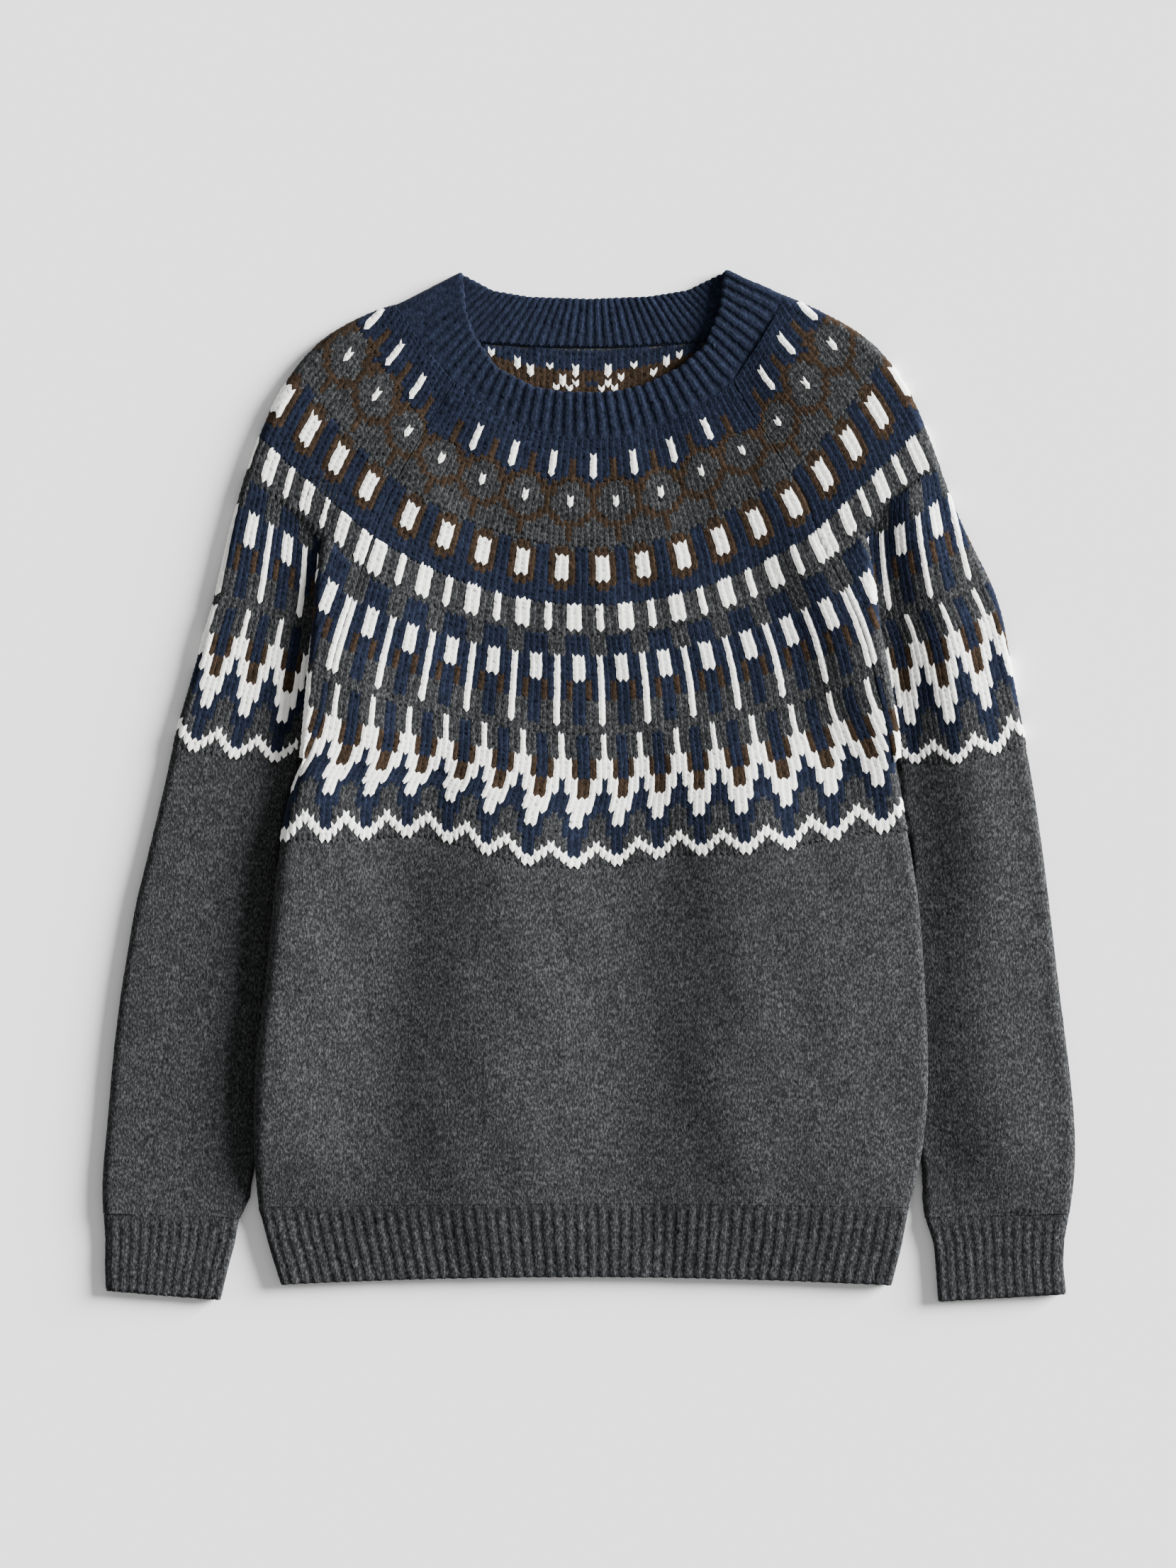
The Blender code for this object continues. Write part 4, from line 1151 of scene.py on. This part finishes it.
# left x and y, right x and y, y at the middle, down the hem
hemRows = np.array([
    (0, -219.2, -279.8, 212.6, -279.8, -277.4),
    (1, -212.6, -305, 208, -305, -301),
    (2, -204.7, -330.4, 201.4, -330.9, -325.2),
])


def hemPieces(name, isFront):
    def height(x, y):
        return backHeight(x, y, rib["floor"])

    heights = (frontHeight, height) if isFront else (height, frontHeight)
    grid = bodyGrid(hemRows, np.linspace(0, 2, 7), *heights, isFront, rib["wall"], lambda row: 1.0, 240)
    return ribPieces("hem", "hem_" + name, "hem_rib_" + name, grid, -1.0 if isFront else 1.0)


hemFront = hemPieces("front", True)
hemBack = hemPieces("back", False)

# outer x and y, inner x and y, down each cuff
cuffRows = {
    "left": [
        (-322.4, -284, -232.7, -287.2), (-321.3, -301, -235.7, -304),
        (-321.6, -318, -240.5, -322), (-321, -334.2, -244.8, -340.4),
    ],
    "right": [
        (319.2, -284, 224.4, -287.2), (316.2, -301, 229.6, -304),
        (315.4, -318, 231.2, -322), (317.4, -337, 232.4, -341.8),
    ],
}


def cuffPieces(name):
    side = sleeves[name]["side"]
    heights = rib["cuffLow"], rib["cuffTop"], rib["floor"]
    loops = [slabRowTube(row, side, *heights, rib["wall"] + rib["cuffMore"]) for row in cuffRows[name]]
    grid = np.array([evenly(np.array(loop), 200) for loop in loops])
    return ribPieces("cuff", "cuff_" + name, "cuff_" + name, grid, -side)


cuffLeft = cuffPieces("left")
cuffRight = cuffPieces("right")
print("ribs knitted")

# The neckband's free edge: x and y along the front, and along the back
freeFront = [
    (-86, 339.6), (-82, 314.4), (-76.6, 299), (-62, 277.6), (-37, 264.2), (-17, 261), (3, 260.2),
    (19.6, 261.4), (37, 265.6), (61, 277.2), (77.6, 292), (87, 316), (92.4, 341.2),
]
freeBack = [
    (92.4, 341.2), (66, 328.6), (40, 324.4), (0, 322.8), (-40, 324.2), (-64, 328.4), (-86, 339.6),
]


def neckPieces():
    # the seam to the body and sleeves: each sleeve's last row gives 12 points to the front half
    across = np.linspace(-1, 1, 15)
    frontX, frontY = rowLine(frontTable, lastRow, across)
    backX, backY = rowLine(backTable, lastRow, across[::-1])
    front = np.stack([frontX, frontY, frontHeight(frontX, frontY)], 1)
    back = np.stack([backX, backY, np.full(15, rib["floor"])], 1)
    split = 12
    frontSeam = np.concatenate([leftTop[split - 1 :: -1], front[1:-1], rightTop[:split]])
    backSeam = np.concatenate([rightTop[split:], back[1:-1], leftTop[: split - 1 : -1]])
    middle = np.array([3.0, 292.0])
    for seam in (frontSeam, backSeam):
        seam[:, :2] += unit(middle - seam[:, :2]) * cloth["seamGap"] * 0.3
        seam[:, 2] = np.maximum(seam[:, 2], rib["floor"])
    # the free edge goes round a fold at each shoulder, from the front down to the back
    upper = np.column_stack([freeFront, np.full(len(freeFront), rib["neckFree"])])
    under = np.column_stack([freeBack, np.full(len(freeBack), rib["floor"])])
    folds = []
    for side, tip in ((-1, freeFront[0]), (1, freeFront[-1])):
        inward = np.array([-side * 0.97, -0.24])
        edge = np.array(tip) - inward * (1.4 - cloth["wall"] / 2)
        folds.append(np.array(halfTurn(edge, inward, rib["neckFree"], rib["floor"])))
    upper = np.concatenate([folds[0][1::-1], upper[1:-1], folds[1][:2]])
    under = np.concatenate([folds[1][2:], under[1:-1], folds[0][:1:-1]])
    half = 300
    seam = np.concatenate([evenly(frontSeam, half), evenly(backSeam, half)])
    free = np.concatenate([evenly(upper, half), evenly(under, half)])
    grid = np.array([seam * (1 - share) + free * share for share in np.linspace(0, 1, 5)])
    sense = 1.0 if gridNormals(grid, True)[1, half // 2, 2] > 0 else -1.0
    return ribPieces("neck", "neckband", "neckband", grid, sense)


neckSlab, neckStitches = neckPieces()
print("neckband knitted")

# Inside of the back, seen through the neck: navy rows, then brown ones with a white speckle
insideNeck = {
    "rowDepth": 3.4,
    "stitch": 4.3,
    "reach": 17,  # stitches on each side of the middle
    "rows": (-9, 4),  # the first and the last
    "dashes": 277.3,  # y of row 0, the row of white dashes, at the middle
    "bow": 9.4,  # how much higher a row is at 61 mm from the middle
    # stitch numbers by row
    "white": {
        0: (-15, -11, -6, -2, 3, 7, 12, 14), -1: (-11, -9, -2, 3, 12), -2: (-9, -4, 5, 10), -3: (-4, -2, 3),
        -4: (-5, -3, 2, 4),
    },
    "navy": {-3: (0, 1)},
}


def insidePiece():
    reach, (low, high) = insideNeck["reach"], insideNeck["rows"]
    x = np.linspace(-reach - 0.5, reach + 0.5, 71) * insideNeck["stitch"]
    seam = rowLine(backTable, lastRow, (x - 2.0) / 101)[1]
    grid = []
    for row in range(low - 2, high + 3):
        y = insideNeck["dashes"] + insideNeck["rowDepth"] * row + insideNeck["bow"] * (x / 61) ** 2
        z = cloth["floor"] - 1.9 * smoothStep((y - seam + 1.2) / 1.6)  # down under the neckband
        grid.append(np.stack([x, np.minimum(y, seam + 2.0), z], 1))
    surface = surfaceOf(low - 2, np.array(grid), 1.0)
    letters = np.full((high - low + 1, 2 * reach + 1), yarnIndex["b"])
    letters[-low:] = yarnIndex["n"]
    for code, table in (("w", insideNeck["white"]), ("n", insideNeck["navy"])):
        for row, numbers in table.items():
            letters[row - low, np.array(numbers) + reach] = yarnIndex[code]

    def place(rowAt, position):
        return 0.5 + position / (2 * reach + 1.02)

    patch = knitPatch(surface, (low, high), (-reach, reach), place, letters, plump, 0.8)
    piece = joinPatches("back_inside", [patch], False)
    dress([piece])
    return piece


backInside = insidePiece()

# Floor, light and camera
studio = {
    "paper": "#f4f4f4",
    "keyStrength": 20.5,
    "keyTilt": 71.5,
    "keyTurn": 112,  # low, from the right
    "keySoftness": 30,
    "sky": 0.52,
    "cameraHeight": 4.2,
    "photoScale": 0.47,  # millimetres to a pixel of the photo, which is 2212 high
}
bpy.ops.mesh.primitive_plane_add(size=12, location=(0, 0, -0.0002))
floor = bpy.context.active_object
floor.name = "floor"
paper = bpy.data.materials.new("matWhitePaper")
paper.use_nodes = True
paper.node_tree.nodes["Principled BSDF"].inputs["Base Color"].default_value = linear(studio["paper"])
paper.node_tree.nodes["Principled BSDF"].inputs["Roughness"].default_value = 0.95
floor.data.materials.append(paper)

key = bpy.data.lights.new("key", "SUN")
key.energy = studio["keyStrength"]
key.angle = math.radians(studio["keySoftness"])
lamp = bpy.data.objects.new("key", key)
lamp.rotation_euler = (math.radians(studio["keyTilt"]), 0, math.radians(studio["keyTurn"]))
bpy.context.scene.collection.objects.link(lamp)
world = bpy.data.worlds.new("studioRoom")
world.use_nodes = True
world.node_tree.nodes["Background"].inputs["Color"].default_value = (1, 1, 1, 1)
world.node_tree.nodes["Background"].inputs["Strength"].default_value = studio["sky"]
bpy.context.scene.world = world

frameHeight = 2212 * studio["photoScale"] / 1000
camera = bpy.data.cameras.new("overhead")
camera.sensor_width = 36
camera.lens = 36 * (studio["cameraHeight"] - 0.008) / frameHeight  # the frame fits the cloth's upper side
view = bpy.data.objects.new("overhead", camera)
view.location = (-0.0005, 0.0014, studio["cameraHeight"])
bpy.context.scene.collection.objects.link(view)
bpy.context.scene.camera = view

print("scene ready")
